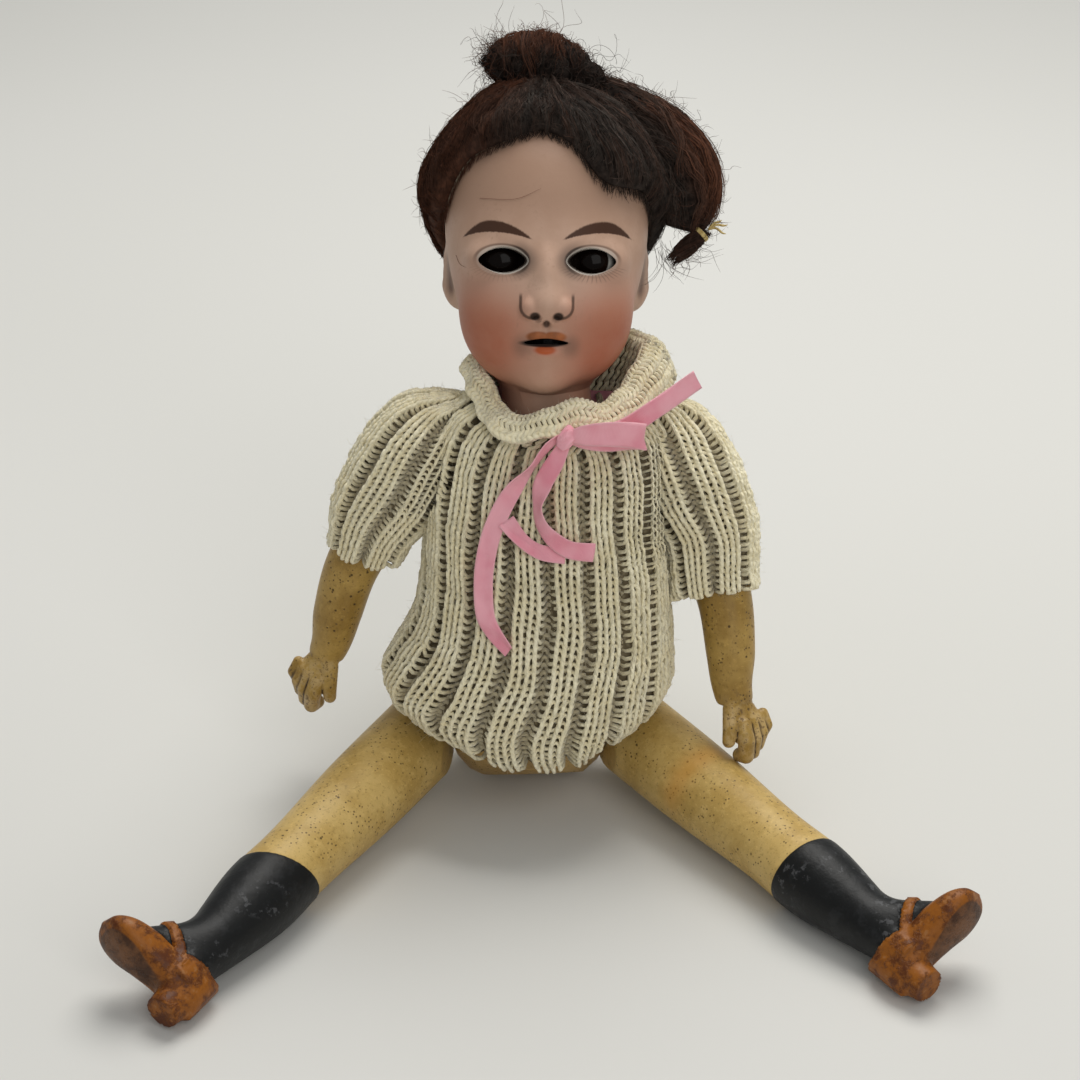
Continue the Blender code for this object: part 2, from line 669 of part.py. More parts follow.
def cord(name, loops, runs):
    """One elastic: rings at (place, axis), joined by cord runs that end on the rings' sides."""
    first, *rest = [piece(f"{name}_loop_{i}", torus(LOOP_R, CORD_R), pose=along(axis, place))
                    for i, (place, axis) in enumerate(loops)]
    joined = piece(name, torus(LOOP_R, CORD_R), ELASTIC, pose=first.matrix_basis)
    bpy.data.objects.remove(first)
    pieces = rest
    for i, run in enumerate(runs):
        for j, (start, end) in enumerate(zip(run, run[1:])):
            pieces.append(rod(f"{name}_run_{i}_{j}", CORD_R, start, end, segments=8))
            if j:
                pieces.append(ball(f"{name}_bend_{i}_{j}", CORD_R * 1.05, start, segments=8))
    join(joined, *pieces)
    return joined


def lead_off(place, axis, toward):
    """Cord from the side of a loop out past the wire's knob, on the way to the next point."""
    run = Vector(toward) - place
    run = (run - axis * run.dot(axis)).normalized()
    return [place + run * LOOP_R, place + run * (HOOK_KNOB_R + 2 * GAP + CORD_R)]


arm_loops, leg_loops = [], []
for name, side in SIDES:
    axis = (TORSO_POSE.to_3x3() @ shoulder_axis(side)).normalized()
    arm_loops.append((TORSO_POSE @ shoulder_place(side) - axis * LOOP_SET, axis))
    axis = hip_axis(side)
    leg_loops.append((hip_place(side) - axis * LOOP_SET, axis))
# The arm elastic passes under the neck ball, behind the neck hook
pass_level = NECK_LEVEL - NECK_BALL_R - CORD_R - GAP
under_neck = TORSO_POSE @ Vector((0, PASS_BACK - TORSO_FORWARD, pass_level))
arm_run = [*lead_off(*arm_loops[0], under_neck), under_neck, *reversed(lead_off(*arm_loops[1], under_neck))]
cord("arm_elastic", arm_loops, [arm_run])
neck_down = -(neck_frame.matrix_basis.to_3x3() @ Vector((0, 0, 1)))
hook_bottom = NECK_BALL_R + HOOK_REACH
neck_loop = (NECK_CENTRE + neck_down * (NECK_BALL_R + LOOP_SET), -neck_down)
leg_runs = []
for place, axis in leg_loops:
    leg_runs.append([*lead_off(place, axis, neck_loop[0]), *reversed(lead_off(*neck_loop, place))])
cord("leg_elastic", [neck_loop, *leg_loops], leg_runs)


# Head: one hollow bisque shell, every point found outward from a middle point
HEAD_MIDDLE = np.array((0, 0, (FACE_LEVEL + CRANIUM_LEVEL) / 2))
LONGITUDES = [t * DEG for t in [*range(-60, 60, 8), *range(60, 300, 16)]]
POLARS = [t * DEG for t in [*range(0, 68, 12), *range(68, 140, 6), *range(140, 181, 8)]]


def oval_body(points, centre, radii, fullness=2.0):
    """Distance from an oval; a fullness above 2 squares it off."""
    radii = np.array(radii)
    scaled = np.maximum(np.abs((points - np.array(centre)) / radii), 1e-9)
    length = (scaled ** fullness).sum(axis=1) ** (1 / fullness)
    slope = scaled ** (fullness - 1) / radii * length[:, None] ** (1 - fullness)
    return (length - 1) / np.linalg.norm(slope, axis=1)


def blend(first, second, width):
    share = np.clip(0.5 + 0.5 * (second - first) / width, 0, 1)
    return second * (1 - share) + first * share - width * share * (1 - share)


def skull(points):
    """Distance from the head without its nose and ears."""
    cranium = oval_body(points, (0, CRANIUM_BACK, CRANIUM_LEVEL),
                        (CRANIUM_HALF_WIDTH, CRANIUM_HALF_DEPTH, CRANIUM_HALF_HEIGHT))
    face = oval_body(points, (0, -FACE_FORWARD, FACE_LEVEL),
                     (FACE_HALF_WIDTH, FACE_HALF_DEPTH, FACE_HALF_HEIGHT), FACE_FULLNESS)
    form = blend(cranium, face, CRANIUM_BLEND)
    for side in (-1, 1):
        cheek = oval_body(points, (side * CHEEK_HALF_SPACING, -CHEEK_FORWARD, CHEEK_LEVEL), [CHEEK_R] * 3)
        form = blend(form, cheek, CHEEK_BLEND)
    chin = oval_body(points, (0, -CHIN_FORWARD, CHIN_LEVEL), [CHIN_R] * 3)
    form = blend(form, chin, CHIN_BLEND)
    neck = np.linalg.norm(points[:, :2], axis=1) - NECK_R
    neck = np.maximum(neck, np.maximum(-points[:, 2], points[:, 2] - CRANIUM_LEVEL))
    form = blend(form, neck, NECK_BLEND)
    return np.minimum(form, np.linalg.norm(points, axis=1) - NECK_BALL_R)


def face_depth(out, level, form):
    """Front of a form at a place on the face."""
    near, far = -60 * MM, 0.0
    for _ in range(40):
        middle = (near + far) / 2
        inside = form(np.array([(out, middle, level)]))[0] < 0
        near, far = (near, middle) if inside else (middle, far)
    return near


FACE_AT_NOSE = face_depth(0, NOSE_LEVEL, skull)


def whole_head(points):
    form = skull(points)
    tip = oval_body(points, (0, FACE_AT_NOSE - NOSE_RISE + NOSE_HALF_WIDTH, NOSE_LEVEL),
                    (NOSE_HALF_WIDTH, NOSE_HALF_WIDTH, NOSE_HALF_WIDTH))
    bridge = oval_body(points, (0, FACE_AT_NOSE + BRIDGE_IN, NOSE_LEVEL + NOSE_LENGTH * 0.4),
                       (NOSE_HALF_WIDTH * 0.6, NOSE_RISE, NOSE_LENGTH * 0.6))
    form = blend(blend(form, tip, NOSE_BLEND), bridge, NOSE_BLEND)
    for side in (-1, 1):
        ear = oval_body(points, (side * FACE_HALF_WIDTH, CRANIUM_BACK, EAR_LEVEL),
                        (2 * EAR_OUT, EAR_HALF_DEPTH, EAR_HALF_HEIGHT))
        form = blend(form, ear, EAR_BLEND)
    return form


def head_skin(form, level, longitudes=LONGITUDES, polars=POLARS):
    """Closed skin where a form's distance reaches a level."""
    rings = []
    for polar in polars:
        turns = [0] if polar in (polars[0], polars[-1]) else longitudes
        aims = np.array([(math.sin(polar) * math.sin(t), -math.sin(polar) * math.cos(t), math.cos(polar))
                         for t in turns])
        near, far = np.zeros(len(aims)), np.full(len(aims), 90 * MM)
        for _ in range(36):
            middle = (near + far) / 2
            inside = form(HEAD_MIDDLE + aims * middle[:, None]) < level
            near, far = np.where(inside, middle, near), np.where(inside, far, middle)
        rings.append([Vector(point) for point in HEAD_MIDDLE + aims * near[:, None]])
    return loft(rings)


COARSE_LONGITUDES = [t * DEG for t in range(-180, 180, 15)]
COARSE_POLARS = [t * DEG for t in [*range(0, 140, 10), *range(140, 181, 5)]]
EYE_DEPTH = face_depth(EYE_SPACING / 2, EYE_LEVEL, skull) + EYE_INSET + EYE_R
eye_frame = frame("eye_frame", Matrix.Translation((0, EYE_DEPTH, EYE_LEVEL)), head_frame)


def eye_cut(side):
    """Almond prism through the face in front of an eye."""
    rings = []
    for depth in (-2 * EYE_R, -0.3 * EYE_R):
        ring = []
        for t in circle(22):
            across = math.cos(t + EYE_OPENING_START)
            up = math.sin(t + EYE_OPENING_START) * (1 - 0.35 * across * across)
            ring.append(Vector((side * EYE_SPACING / 2 + across * EYE_OPENING_WIDTH / 2, depth,
                                up * EYE_OPENING_HEIGHT / 2)))
        rings.append(ring)
    return piece(f"eye_cut_{side}", loft(rings), parent=eye_frame)


crown_normal = Vector((0, math.sin(CROWN_SLOPE), math.cos(CROWN_SLOPE)))
crown_place = Vector((0, 0, CROWN_CUT))
hollow = piece("head_hollow", head_skin(skull, -HEAD_WALL, COARSE_LONGITUDES, COARSE_POLARS),
               parent=head_frame)
head = piece("head", head_skin(whole_head, 0), BISQUE, head_frame)
cut(head, hollow, half_space("crown_cut", crown_place, crown_normal, head_frame))
cut(head, rod("neck_hole", NECK_HOLE_R, (0, 0, -2 * NECK_BALL_R), (0, 0, 0), parent=head_frame,
              segments=22))
for name, side in SIDES:
    socket = ball(f"eye_socket_{name}", EYE_R + GAP, (side * EYE_SPACING / 2, 0, 0), parent=eye_frame)
    cut(head, socket, eye_cut(side))
mouth = bmesh.new()
bmesh.ops.create_cube(mouth, size=1)
bmesh.ops.scale(mouth, verts=mouth.verts, vec=(MOUTH_WIDTH, 4 * HEAD_WALL, MOUTH_OPENING))
mouth_depth = face_depth(0, MOUTH_LEVEL, skull)
cut(head, piece("mouth_slot", mouth, parent=head_frame,
                pose=Matrix.Translation((0, mouth_depth + HEAD_WALL, MOUTH_LEVEL))))

pate = piece("pate", head_skin(skull, 0, COARSE_LONGITUDES, COARSE_POLARS), CARD, head_frame)
cut(pate, hollow, half_space("pate_rim", crown_place + crown_normal * GAP, -crown_normal, head_frame))

# Sleeping eyes: two glass balls on an axle that turns in a plaster bridge, and a weighted yoke
axle_half = EYE_SPACING / 2 - EYE_R + AXLE_SEAT
yoke_back = EYE_R + YOKE_BACK
rod("eye_axle", AXLE_R, (-axle_half, 0, 0), (axle_half, 0, 0), WIRE, eye_frame, 12)
weight_place = Vector((0, WEIGHT_BACK, -WEIGHT_DROP))
yoke = rod("eye_yoke", AXLE_R, (-EYE_SPACING / 2, yoke_back, 0), (EYE_SPACING / 2, yoke_back, 0), WIRE,
           eye_frame, 12)
join(yoke, rod("yoke_stem", AXLE_R, (0, yoke_back, 0), weight_place, parent=eye_frame, segments=12))
for name, side in SIDES:
    out = side * EYE_SPACING / 2
    prong = (out, EYE_R - YOKE_SEAT, 0)
    join(yoke, rod(f"yoke_prong_{name}", AXLE_R, (out, yoke_back, 0), prong, parent=eye_frame, segments=12),
         ball(f"yoke_bend_{name}", AXLE_R * 1.05, (out, yoke_back, 0), parent=eye_frame, segments=12))
    eye = ball(f"eye_{name}", EYE_R, (out, 0, 0), GLASS, eye_frame)
    cut(eye, rod(f"axle_bore_{name}", AXLE_R + GAP, (side * (axle_half + GAP), 0, 0), (0, 0, 0),
                 parent=eye_frame, segments=12))
    cut(eye, rod(f"yoke_bore_{name}", AXLE_R + GAP, (out, yoke_back, 0), (out, EYE_R - YOKE_SEAT - GAP, 0),
                 parent=eye_frame, segments=12))
weight = ball("eye_weight", WEIGHT_R, weight_place, LEAD, eye_frame, 14)
weight_run = (weight_place - Vector((0, yoke_back, 0))).normalized()
cut(weight, rod("weight_bore", AXLE_R + GAP, weight_place - weight_run * 2 * WEIGHT_R,
                weight_place + weight_run * GAP, parent=eye_frame, segments=12))
inner_skin = piece("head_lining", head_skin(skull, -HEAD_WALL - GAP, COARSE_LONGITUDES, COARSE_POLARS),
                   parent=head_frame)
bridge_half = EYE_SPACING / 2 - EYE_R - GAP
bridge_rings = []
for x in (-bridge_half, bridge_half):
    arc = [(x, BRIDGE_R * math.cos(t), BRIDGE_R * math.sin(t))
           for t in np.linspace(-math.pi / 2, math.pi / 2, 9)]
    bridge_rings.append([(x, -2 * EYE_R, -BRIDGE_R), *arc, (x, -2 * EYE_R, BRIDGE_R)])
bridge = piece("eye_bridge", loft(bridge_rings), PLASTER, eye_frame)
bridge.parent = head_frame
bridge.matrix_basis = eye_frame.matrix_basis
keep(bridge, inner_skin)
cut(bridge, rod("bridge_bore", AXLE_R + GAP, (-EYE_SPACING, 0, 0), (EYE_SPACING, 0, 0),
                parent=eye_frame, segments=12))

# Neck plug and hook
PLUG_R = NECK_BALL_R - HEAD_WALL - 2 * GAP
plug = ball("neck_plug", PLUG_R, (0, 0, 0), WOOD, neck_frame)
cut(plug, half_space("plug_top", (0, 0, -PLUG_TOP), (0, 0, 1), neck_frame))
cut(plug, rod("plug_bore", WIRE_R + GAP, (0, 0, -2 * PLUG_R), (0, 0, 0), parent=neck_frame))
hook_top = -PLUG_TOP + PLUG_WIRE_STAND
neck_hook = rod("neck_hook", WIRE_R, (0, 0, -hook_bottom), (0, 0, hook_top), WIRE, neck_frame)
for name, level in (("knob", -hook_bottom), ("head", -PLUG_TOP + GAP + HOOK_KNOB_R)):
    join(neck_hook, ball(f"neck_hook_{name}", HOOK_KNOB_R, (0, 0, level), parent=neck_frame, segments=10))

# Wig: gauze cap, swept hair, rolled topknot and a side tail with its thread
CAP_INSIDE = 1.5 * GAP
HAIR_INSIDE = CAP_INSIDE + CAP_THICKNESS + GAP
HAIR_OUTSIDE = HAIR_INSIDE + HAIR_THICKNESS
hairline_place = Vector((0, -FOREHEAD_FORWARD, HAIRLINE_FRONT))
hairline_normal = Vector((0, math.sin(HAIRLINE_FALL), math.cos(HAIRLINE_FALL)))
below_hair = half_space("below_hairline", hairline_place, -hairline_normal, head_frame)


def skull_layer(name, level, finish=None):
    return piece(name, head_skin(skull, level, COARSE_LONGITUDES, COARSE_POLARS), finish, head_frame)


cap = skull_layer("wig_cap", CAP_INSIDE + CAP_THICKNESS, GAUZE)
cut(cap, skull_layer("cap_inside", CAP_INSIDE), below_hair)
hair = skull_layer("wig_hair", HAIR_OUTSIDE, MOHAIR)
cut(hair, skull_layer("hair_inside", HAIR_INSIDE), below_hair)
hair_skin = skull_layer("hair_skin", HAIR_OUTSIDE + GAP)
hair_top = CRANIUM_LEVEL + CRANIUM_HALF_HEIGHT + HAIR_OUTSIDE
topknot = ball("topknot", 1, (0, CRANIUM_BACK, hair_top + TOPKNOT_RISE), MOHAIR, head_frame)
topknot.data.transform(Matrix.Diagonal((TOPKNOT_HALF_WIDTH, TOPKNOT_HALF_DEPTH, TOPKNOT_HALF_HEIGHT, 1)))
cut(topknot, hair_skin)
hair_side = CRANIUM_HALF_WIDTH + HAIR_OUTSIDE
TAIL_STATIONS = (             # share of the way down, out from the side of the hair, radius
    (0.0, -TAIL_ROOT, TAIL_END_R),
    (0.2, -TAIL_ROOT * 0.25, TAIL_R * 0.8),
    (0.5, TAIL_OUT * 0.8, TAIL_R),
    (0.75, TAIL_OUT, TAIL_R * 0.8),
    (1.0, TAIL_OUT * 0.3, TAIL_END_R),
)
TAIL_STEPS = 12
tail_points, tail_radii = [], []
for i in range(TAIL_STEPS + 1):
    share = i / TAIL_STEPS
    out, radius = through(TAIL_STATIONS, share)
    tail_points.append(Vector((hair_side + out, CRANIUM_BACK + TAIL_BACK, hair_top - TAIL_DROP * share)))
    tail_radii.append(radius)
tail = piece("side_tail", sweep(tail_points, tail_radii, 14), MOHAIR, head_frame)
cut(tail, hair_skin)
tie = TAIL_STEPS - 2
tie_run = (tail_points[tie + 1] - tail_points[tie - 1]).normalized()
tie_pose = along(tie_run, tail_points[tie])
piece("tail_thread", torus(tail_radii[tie] + 2 * GAP + THREAD_R, THREAD_R), THREAD, head_frame, tie_pose)


# Sweater body: knit shell from the hem over the thighs to the neck, cut off at the armholes
def hem_point(turn, layer):
    """Hem in the torso's own frame, its height set above the floor."""
    reach = HEM_BACK if math.sin(turn) > 0 else HEM_FRONT
    x = (HEM_HALF_WIDTH - KNIT + layer) * math.cos(turn)
    y = (reach - KNIT + layer) * math.sin(turn) + torso_back(HIP_LEVEL)
    front_level = HIP_HEIGHT + THIGH_R + HEM_CLEAR
    back = smooth(0.72, 0.97, math.sin(turn))
    level = front_level + (HEM_BACK_LEVEL - front_level) * back
    level -= HEM_DROOP * smooth(0.9, 1.0, -math.sin(turn))
    tilt = TORSO_POSE.to_3x3()
    return Vector((x, y, (level - tilt[2][0] * x - tilt[2][1] * y) / tilt[2][2]))


SWEATER_TOP = TORSO_TOP + SHOULDER_RISE
SWEATER_STEPS = 12


def sweater_point(turn, share, layer):
    """Point of the knit: share 0 at the hem, 1 at the neck; layer is 0 inside and KNIT outside."""
    low = hem_point(turn, layer)
    level = low.z + (SWEATER_TOP - low.z) * share
    under = level - SHOULDER_RISE * smooth(CHEST_LEVEL, SWEATER_TOP, level)
    half_width, half_depth = through(TORSO_STATIONS, max(under, HIP_LEVEL))
    x = (half_width + EASE + layer) * math.cos(turn)
    y = (half_depth + EASE + layer) * math.sin(turn) + torso_back(level)
    drape = 1 - smooth(0, 0.75, share)
    return Vector((x + (low.x - x) * drape, y + (low.y - y) * drape, level))


sweater_rings = []
for layer, shares in ((KNIT, np.linspace(0, 1, SWEATER_STEPS)), (0, np.linspace(1, 0, SWEATER_STEPS))):
    for share in shares:
        sweater_rings.append([sweater_point(t, share, layer) for t in circle(BIG_ROUND)])
sweater = piece("sweater_body", loft(sweater_rings, closed=True), WOOL, torso_frame)
for name, side in SIDES:
    axis = shoulder_axis(side)
    cut(sweater, half_space(f"armhole_{name}", shoulder_place(side) - axis * GAP, axis, torso_frame))

# Collar edging: a crocheted band standing round the neck, low in front
collar_frame = frame("collar_frame", Matrix.Translation((0, -TORSO_FORWARD, SWEATER_TOP + GAP)),
                     torso_frame)
collar_rings = []
for t in circle(BIG_ROUND):
    stand = smooth(-0.75, -0.1, math.sin(t))
    height = COLLAR_HEIGHT + (COLLAR_SIDE_HEIGHT - COLLAR_HEIGHT) * stand
    ring = []
    for turn in circle(8):
        up = (1 + math.sin(turn)) / 2
        reach = COLLAR_INNER_R + COLLAR_WIDTH / 2 * (1 + math.cos(turn)) + COLLAR_FLARE * stand * up
        ring.append((reach * math.cos(t), reach * math.sin(t), height * up))
    collar_rings.append(ring)
piece("sweater_collar", loft(collar_rings, closed=True), WOOL, collar_frame)


# Ribbon: a run inside the collar, a knot in front of it, one loop and three tails
def strip(name, path, width, thickness):
    """Flat ribbon through (middle, across, outward) stations."""
    rings = []
    for middle, across, outward in path:
        half, face = across * width / 2, outward * thickness
        rings.append([middle - half, middle + half, middle + half + face, middle - half + face])
    return piece(name, loft(rings), SATIN, torso_frame)


band = []
band_r = COLLAR_INNER_R - GAP - RIBBON_THICKNESS
for t in circle(BIG_ROUND):
    out = Vector((math.cos(t), math.sin(t), 0))
    base = Vector((0, -TORSO_FORWARD, SWEATER_TOP + GAP)) + out * band_r
    lift = Vector((0, 0, COLLAR_HEIGHT))
    band.append([base, base + out * RIBBON_THICKNESS, base + out * RIBBON_THICKNESS + lift, base + lift])
piece("neck_ribbon", loft(band, closed=True), SATIN, torso_frame)

COLLAR_FRONT = -TORSO_FORWARD - COLLAR_INNER_R - COLLAR_WIDTH
knot_place = Vector((KNOT_OUT, COLLAR_FRONT - GAP - KNOT_HALF * 0.6, SWEATER_TOP + COLLAR_HEIGHT / 2))
knot = ball("bow_knot", KNOT_HALF, knot_place, SATIN, torso_frame, 16)
knot.data.transform(Matrix.Diagonal((1, 0.6, 1, 1)))

loop_rings = []
loop_middle = knot_place + Vector((KNOT_HALF + GAP + LOOP_LENGTH / 2, 0, 0))
for t in circle(20):
    out = Vector((math.copysign(abs(math.cos(t)) ** 0.8, math.cos(t)), math.sin(t), 0))
    outer = loop_middle + Vector((out.x * LOOP_LENGTH / 2, out.y * LOOP_DEPTH / 2, 0))
    inner = loop_middle + Vector((out.x * (LOOP_LENGTH / 2 - RIBBON_THICKNESS),
                                  out.y * (LOOP_DEPTH / 2 - RIBBON_THICKNESS), 0))
    lift = Vector((0, 0, RIBBON_WIDTH / 2))
    loop_rings.append([outer - lift, outer + lift, inner + lift, inner - lift])
piece("bow_loop", loft(loop_rings, closed=True), SATIN, torso_frame)


def chest_front(x, level):
    """Front of the knit at a place on the chest."""
    best = None
    for share in np.linspace(0, 1, 60):
        point = sweater_point(-math.pi / 2, share, KNIT)
        if best is None or abs(point.z - level) < abs(best.z - level):
            best = point
            side = sweater_point(0, share, KNIT)
    depth = best.y + TORSO_FORWARD
    return depth * math.sqrt(max(1 - (x / side.x) ** 2, 0.05)) - TORSO_FORWARD


def tail_strip(name, points, under=0):
    """Ribbon end lying on the chest through (out, drop below the knot) points, over other ends."""
    half = RIBBON_WIDTH / 2
    off = RIBBON_OFF + under * (RIBBON_THICKNESS + RIBBON_OFF)
    path = []
    for i in range(13):
        share = i / 12 * (len(points) - 1)
        stations = [(k, *point) for k, point in enumerate(points)]
        x, drop = through(stations, share)
        ahead = through(stations, min(share + 0.05, len(points) - 1))
        behind = through(stations, max(share - 0.05, 0))
        run = Vector((ahead[0] - behind[0], 0, behind[1] - ahead[1])).normalized()
        across = Vector((run.z, 0, -run.x))
        level = knot_place.z - KNOT_HALF - drop
        x += knot_place.x
        edges = [chest_front(x + across.x * half * k, level + across.z * half * k) for k in (-1, 0, 1)]
        middle = Vector((x, min(edges) - off, level))
        path.append((middle, across, Vector((0, -1, 0))))
    return strip(name, path, RIBBON_WIDTH, RIBBON_THICKNESS)


LONG_TAIL = ((-0.21, 0.04), (-0.74, 0.26), (-1, 0.52), (-1, 0.78), (-0.68, 1))
SHORT_TAIL = ((0.19, 0.08), (-0.38, 0.36), (-0.5, 0.68), (0.12, 0.92), (1, 1))
tail_strip("bow_tail_long", [(out * LONG_TAIL_SWAY, drop * LONG_TAIL_DROP) for out, drop in LONG_TAIL])
tail_strip("bow_tail_short", [(out * SHORT_TAIL_SWAY, drop * SHORT_TAIL_DROP) for out, drop in SHORT_TAIL],
           under=1)
up_start = loop_middle + Vector((0, -LOOP_DEPTH / 2 - GAP - RIBBON_THICKNESS, -RIBBON_WIDTH * 0.1))
up_run = Vector((0.78, -0.06, 0.62)).normalized()
up_across = Vector((-up_run.z, 0, up_run.x)).normalized()
up_path = [(up_start + up_run * UP_TAIL * k / 4, up_across, Vector((0, -1, 0))) for k in range(5)]
strip("bow_tail_up", up_path, RIBBON_WIDTH, RIBBON_THICKNESS)
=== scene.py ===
"""Looks of a bisque-headed doll with a strung composition body, seated in a ribbed wool sweater."""
import json
import math

import bmesh
import bpy
import numpy as np
from mathutils import Matrix, Vector
from mathutils.bvhtree import BVHTree

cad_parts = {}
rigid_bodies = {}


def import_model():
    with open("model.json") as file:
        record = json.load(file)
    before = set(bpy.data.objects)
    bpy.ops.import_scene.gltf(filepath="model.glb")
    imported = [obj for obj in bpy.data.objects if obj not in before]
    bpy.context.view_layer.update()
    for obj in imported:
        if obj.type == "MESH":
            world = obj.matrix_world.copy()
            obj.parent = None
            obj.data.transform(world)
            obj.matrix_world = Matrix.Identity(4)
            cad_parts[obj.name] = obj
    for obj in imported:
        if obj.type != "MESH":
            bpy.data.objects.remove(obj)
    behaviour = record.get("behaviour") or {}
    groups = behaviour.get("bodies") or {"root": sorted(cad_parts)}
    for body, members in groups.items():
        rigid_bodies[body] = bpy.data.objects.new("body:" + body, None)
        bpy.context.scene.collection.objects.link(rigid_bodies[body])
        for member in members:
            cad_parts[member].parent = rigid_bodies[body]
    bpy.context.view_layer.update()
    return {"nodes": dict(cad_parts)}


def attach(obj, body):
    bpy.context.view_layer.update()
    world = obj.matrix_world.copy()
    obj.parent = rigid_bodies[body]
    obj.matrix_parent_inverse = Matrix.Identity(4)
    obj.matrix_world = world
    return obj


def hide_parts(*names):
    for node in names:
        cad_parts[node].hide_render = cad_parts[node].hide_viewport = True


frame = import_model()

# Floor, light and camera: a pale card floor under one wide soft window above and behind the doll,
# with the room as fill, seen from in front and above.
scene = bpy.context.scene
scene.view_settings.view_transform = "Standard"
DEG = math.pi / 180
MM = 0.001
AIM = Vector((0, -0.010, 0.062))
CAMERA_RISE, CAMERA_SIDE, CAMERA_REACH = 31 * DEG, -3 * DEG, 0.6
FRAME_PX, SHIFT_PX = 1080, (11, 41)
camera_data = bpy.data.cameras.new("camera")
camera_data.sensor_width, camera_data.lens = 36, 90.09
camera_data.shift_x, camera_data.shift_y = (px / FRAME_PX for px in SHIFT_PX)
camera = bpy.data.objects.new("camera", camera_data)
to_camera = Vector((math.sin(CAMERA_SIDE) * math.cos(CAMERA_RISE),
                    -math.cos(CAMERA_SIDE) * math.cos(CAMERA_RISE), math.sin(CAMERA_RISE)))
camera.location = AIM + to_camera * CAMERA_REACH
camera.rotation_euler = (-to_camera).to_track_quat("-Z", "Y").to_euler()
scene.collection.objects.link(camera)
scene.camera = camera


def lamp(name, place, size, power, tint):
    """Square soft lamp aimed at the doll."""
    data = bpy.data.lights.new(name, "AREA")
    data.size, data.energy, data.color = size, power, tint
    made = bpy.data.objects.new(name, data)
    made.location = place
    made.rotation_euler = (AIM - Vector(place)).to_track_quat("-Z", "Y").to_euler()
    scene.collection.objects.link(made)


lamp("window", (0.12, 0.32, 0.82), 0.55, 6.15, (1.0, 0.985, 0.95))
lamp("front_fill", (0.30, -0.9, 0.75), 0.8, 3.6, (1.0, 0.985, 0.955))
room = bpy.data.worlds.new("room")
room.use_nodes = True
room.node_tree.nodes["Background"].inputs["Color"].default_value = (0.98, 1.0, 1.0, 1)
room.node_tree.nodes["Background"].inputs["Strength"].default_value = 0.335
scene.world = room


class Wire:
    """A number or colour running through a material's nodes; arithmetic on it adds nodes."""

    def __init__(self, socket):
        self.socket = socket

    def math(self, kind, *others):
        node = self.socket.id_data.nodes.new("ShaderNodeMath")
        node.operation = kind
        feed(node.inputs, self, *others)
        return Wire(node.outputs[0])

    def __add__(self, other):
        return self.math("ADD", other)

    def __sub__(self, other):
        return self.math("SUBTRACT", other)

    def __mul__(self, other):
        return self.math("MULTIPLY", other)

    def __truediv__(self, other):
        return self.math("DIVIDE", other)

    def __rsub__(self, other):
        return self * -1 + other

    def __abs__(self):
        return self.math("ABSOLUTE")

    __radd__, __rmul__ = __add__, __mul__

    def rise(self, low, high):
        """0 up to low, 1 from high on, smooth between; it falls if low is above high."""
        node = self.socket.id_data.nodes.new("ShaderNodeMapRange")
        node.interpolation_type = "SMOOTHSTEP"
        feed(node.inputs, self, low, high)
        return Wire(node.outputs[0])


def feed(sockets, *values):
    for socket, value in zip(sockets, values):
        if isinstance(value, Wire):
            socket.id_data.links.new(value.socket, socket)
        else:
            socket.default_value = value


class Finish:
    """One procedural material on one Principled shader."""

    def __init__(self, name, **constants):
        self.material = bpy.data.materials.new(name)
        self.material.use_nodes = True
        self.nodes = self.material.node_tree.nodes
        self.shader = self.nodes["Principled BSDF"]
        self.set(**constants)

    def set(self, **inputs):
        for name, value in inputs.items():
            feed([self.shader.inputs[name.replace("_", " ").title().replace("Ior", "IOR")]], value)

    def place(self):
        """Object coordinates in metres."""
        return Wire(self.nodes.new("ShaderNodeTexCoord").outputs["Object"])

    def kept(self, name, part="Fac"):
        """Attribute kept on the piece's points."""
        node = self.nodes.new("ShaderNodeAttribute")
        node.attribute_name = name
        return Wire(node.outputs[part])

    def axes(self, vector):
        node = self.nodes.new("ShaderNodeSeparateXYZ")
        feed(node.inputs, vector)
        return [Wire(out) for out in node.outputs]

    def vector(self, *parts):
        node = self.nodes.new("ShaderNodeCombineXYZ")
        feed(node.inputs, *parts)
        return Wire(node.outputs[0])

    def noise(self, where, scale, detail=2.0, roughness=0.5):
        node = self.nodes.new("ShaderNodeTexNoise")
        feed([node.inputs[k] for k in ("Vector", "Scale", "Detail", "Roughness")],
             where, scale, detail, roughness)
        return Wire(node.outputs[0])

    def spots(self, where, scale, loose=1.0):
        """Distance to scattered points, in cells."""
        node = self.nodes.new("ShaderNodeTexVoronoi")
        feed([node.inputs[k] for k in ("Vector", "Scale", "Randomness")], where, scale, loose)
        return Wire(node.outputs["Distance"])

    def mix(self, share, first, second):
        node = self.nodes.new("ShaderNodeMix")
        node.data_type = "RGBA"
        first, second = [c if isinstance(c, Wire) else (*c, 1) for c in (first, second)]
        feed([node.inputs[k] for k in (0, 6, 7)], share, first, second)
        return Wire(node.outputs[2])

    def paint(self, share, colour):
        """Lays a colour over the tint so far."""
        self.tint = self.mix(share, self.tint, colour)
        self.set(base_color=self.tint)

    def bump(self, height, distance, strength=1.0):
        """Relief of a height from 0 to 1, its depth in metres."""
        node = self.nodes.new("ShaderNodeBump")
        feed([node.inputs[k] for k in ("Strength", "Distance", "Height")], strength, distance, height)
        self.set(normal=Wire(node.outputs[0]))


def keep_on(mesh, **kept):
    """Keeps numbers or vectors on a mesh's points."""
    for key, values in kept.items():
        values = np.asarray(values, np.float32)
        kind, field = ("FLOAT_VECTOR", "vector") if values.ndim == 2 else ("FLOAT", "value")
        mesh.attributes.new(key, kind, "POINT").data.foreach_set(field, values.ravel())


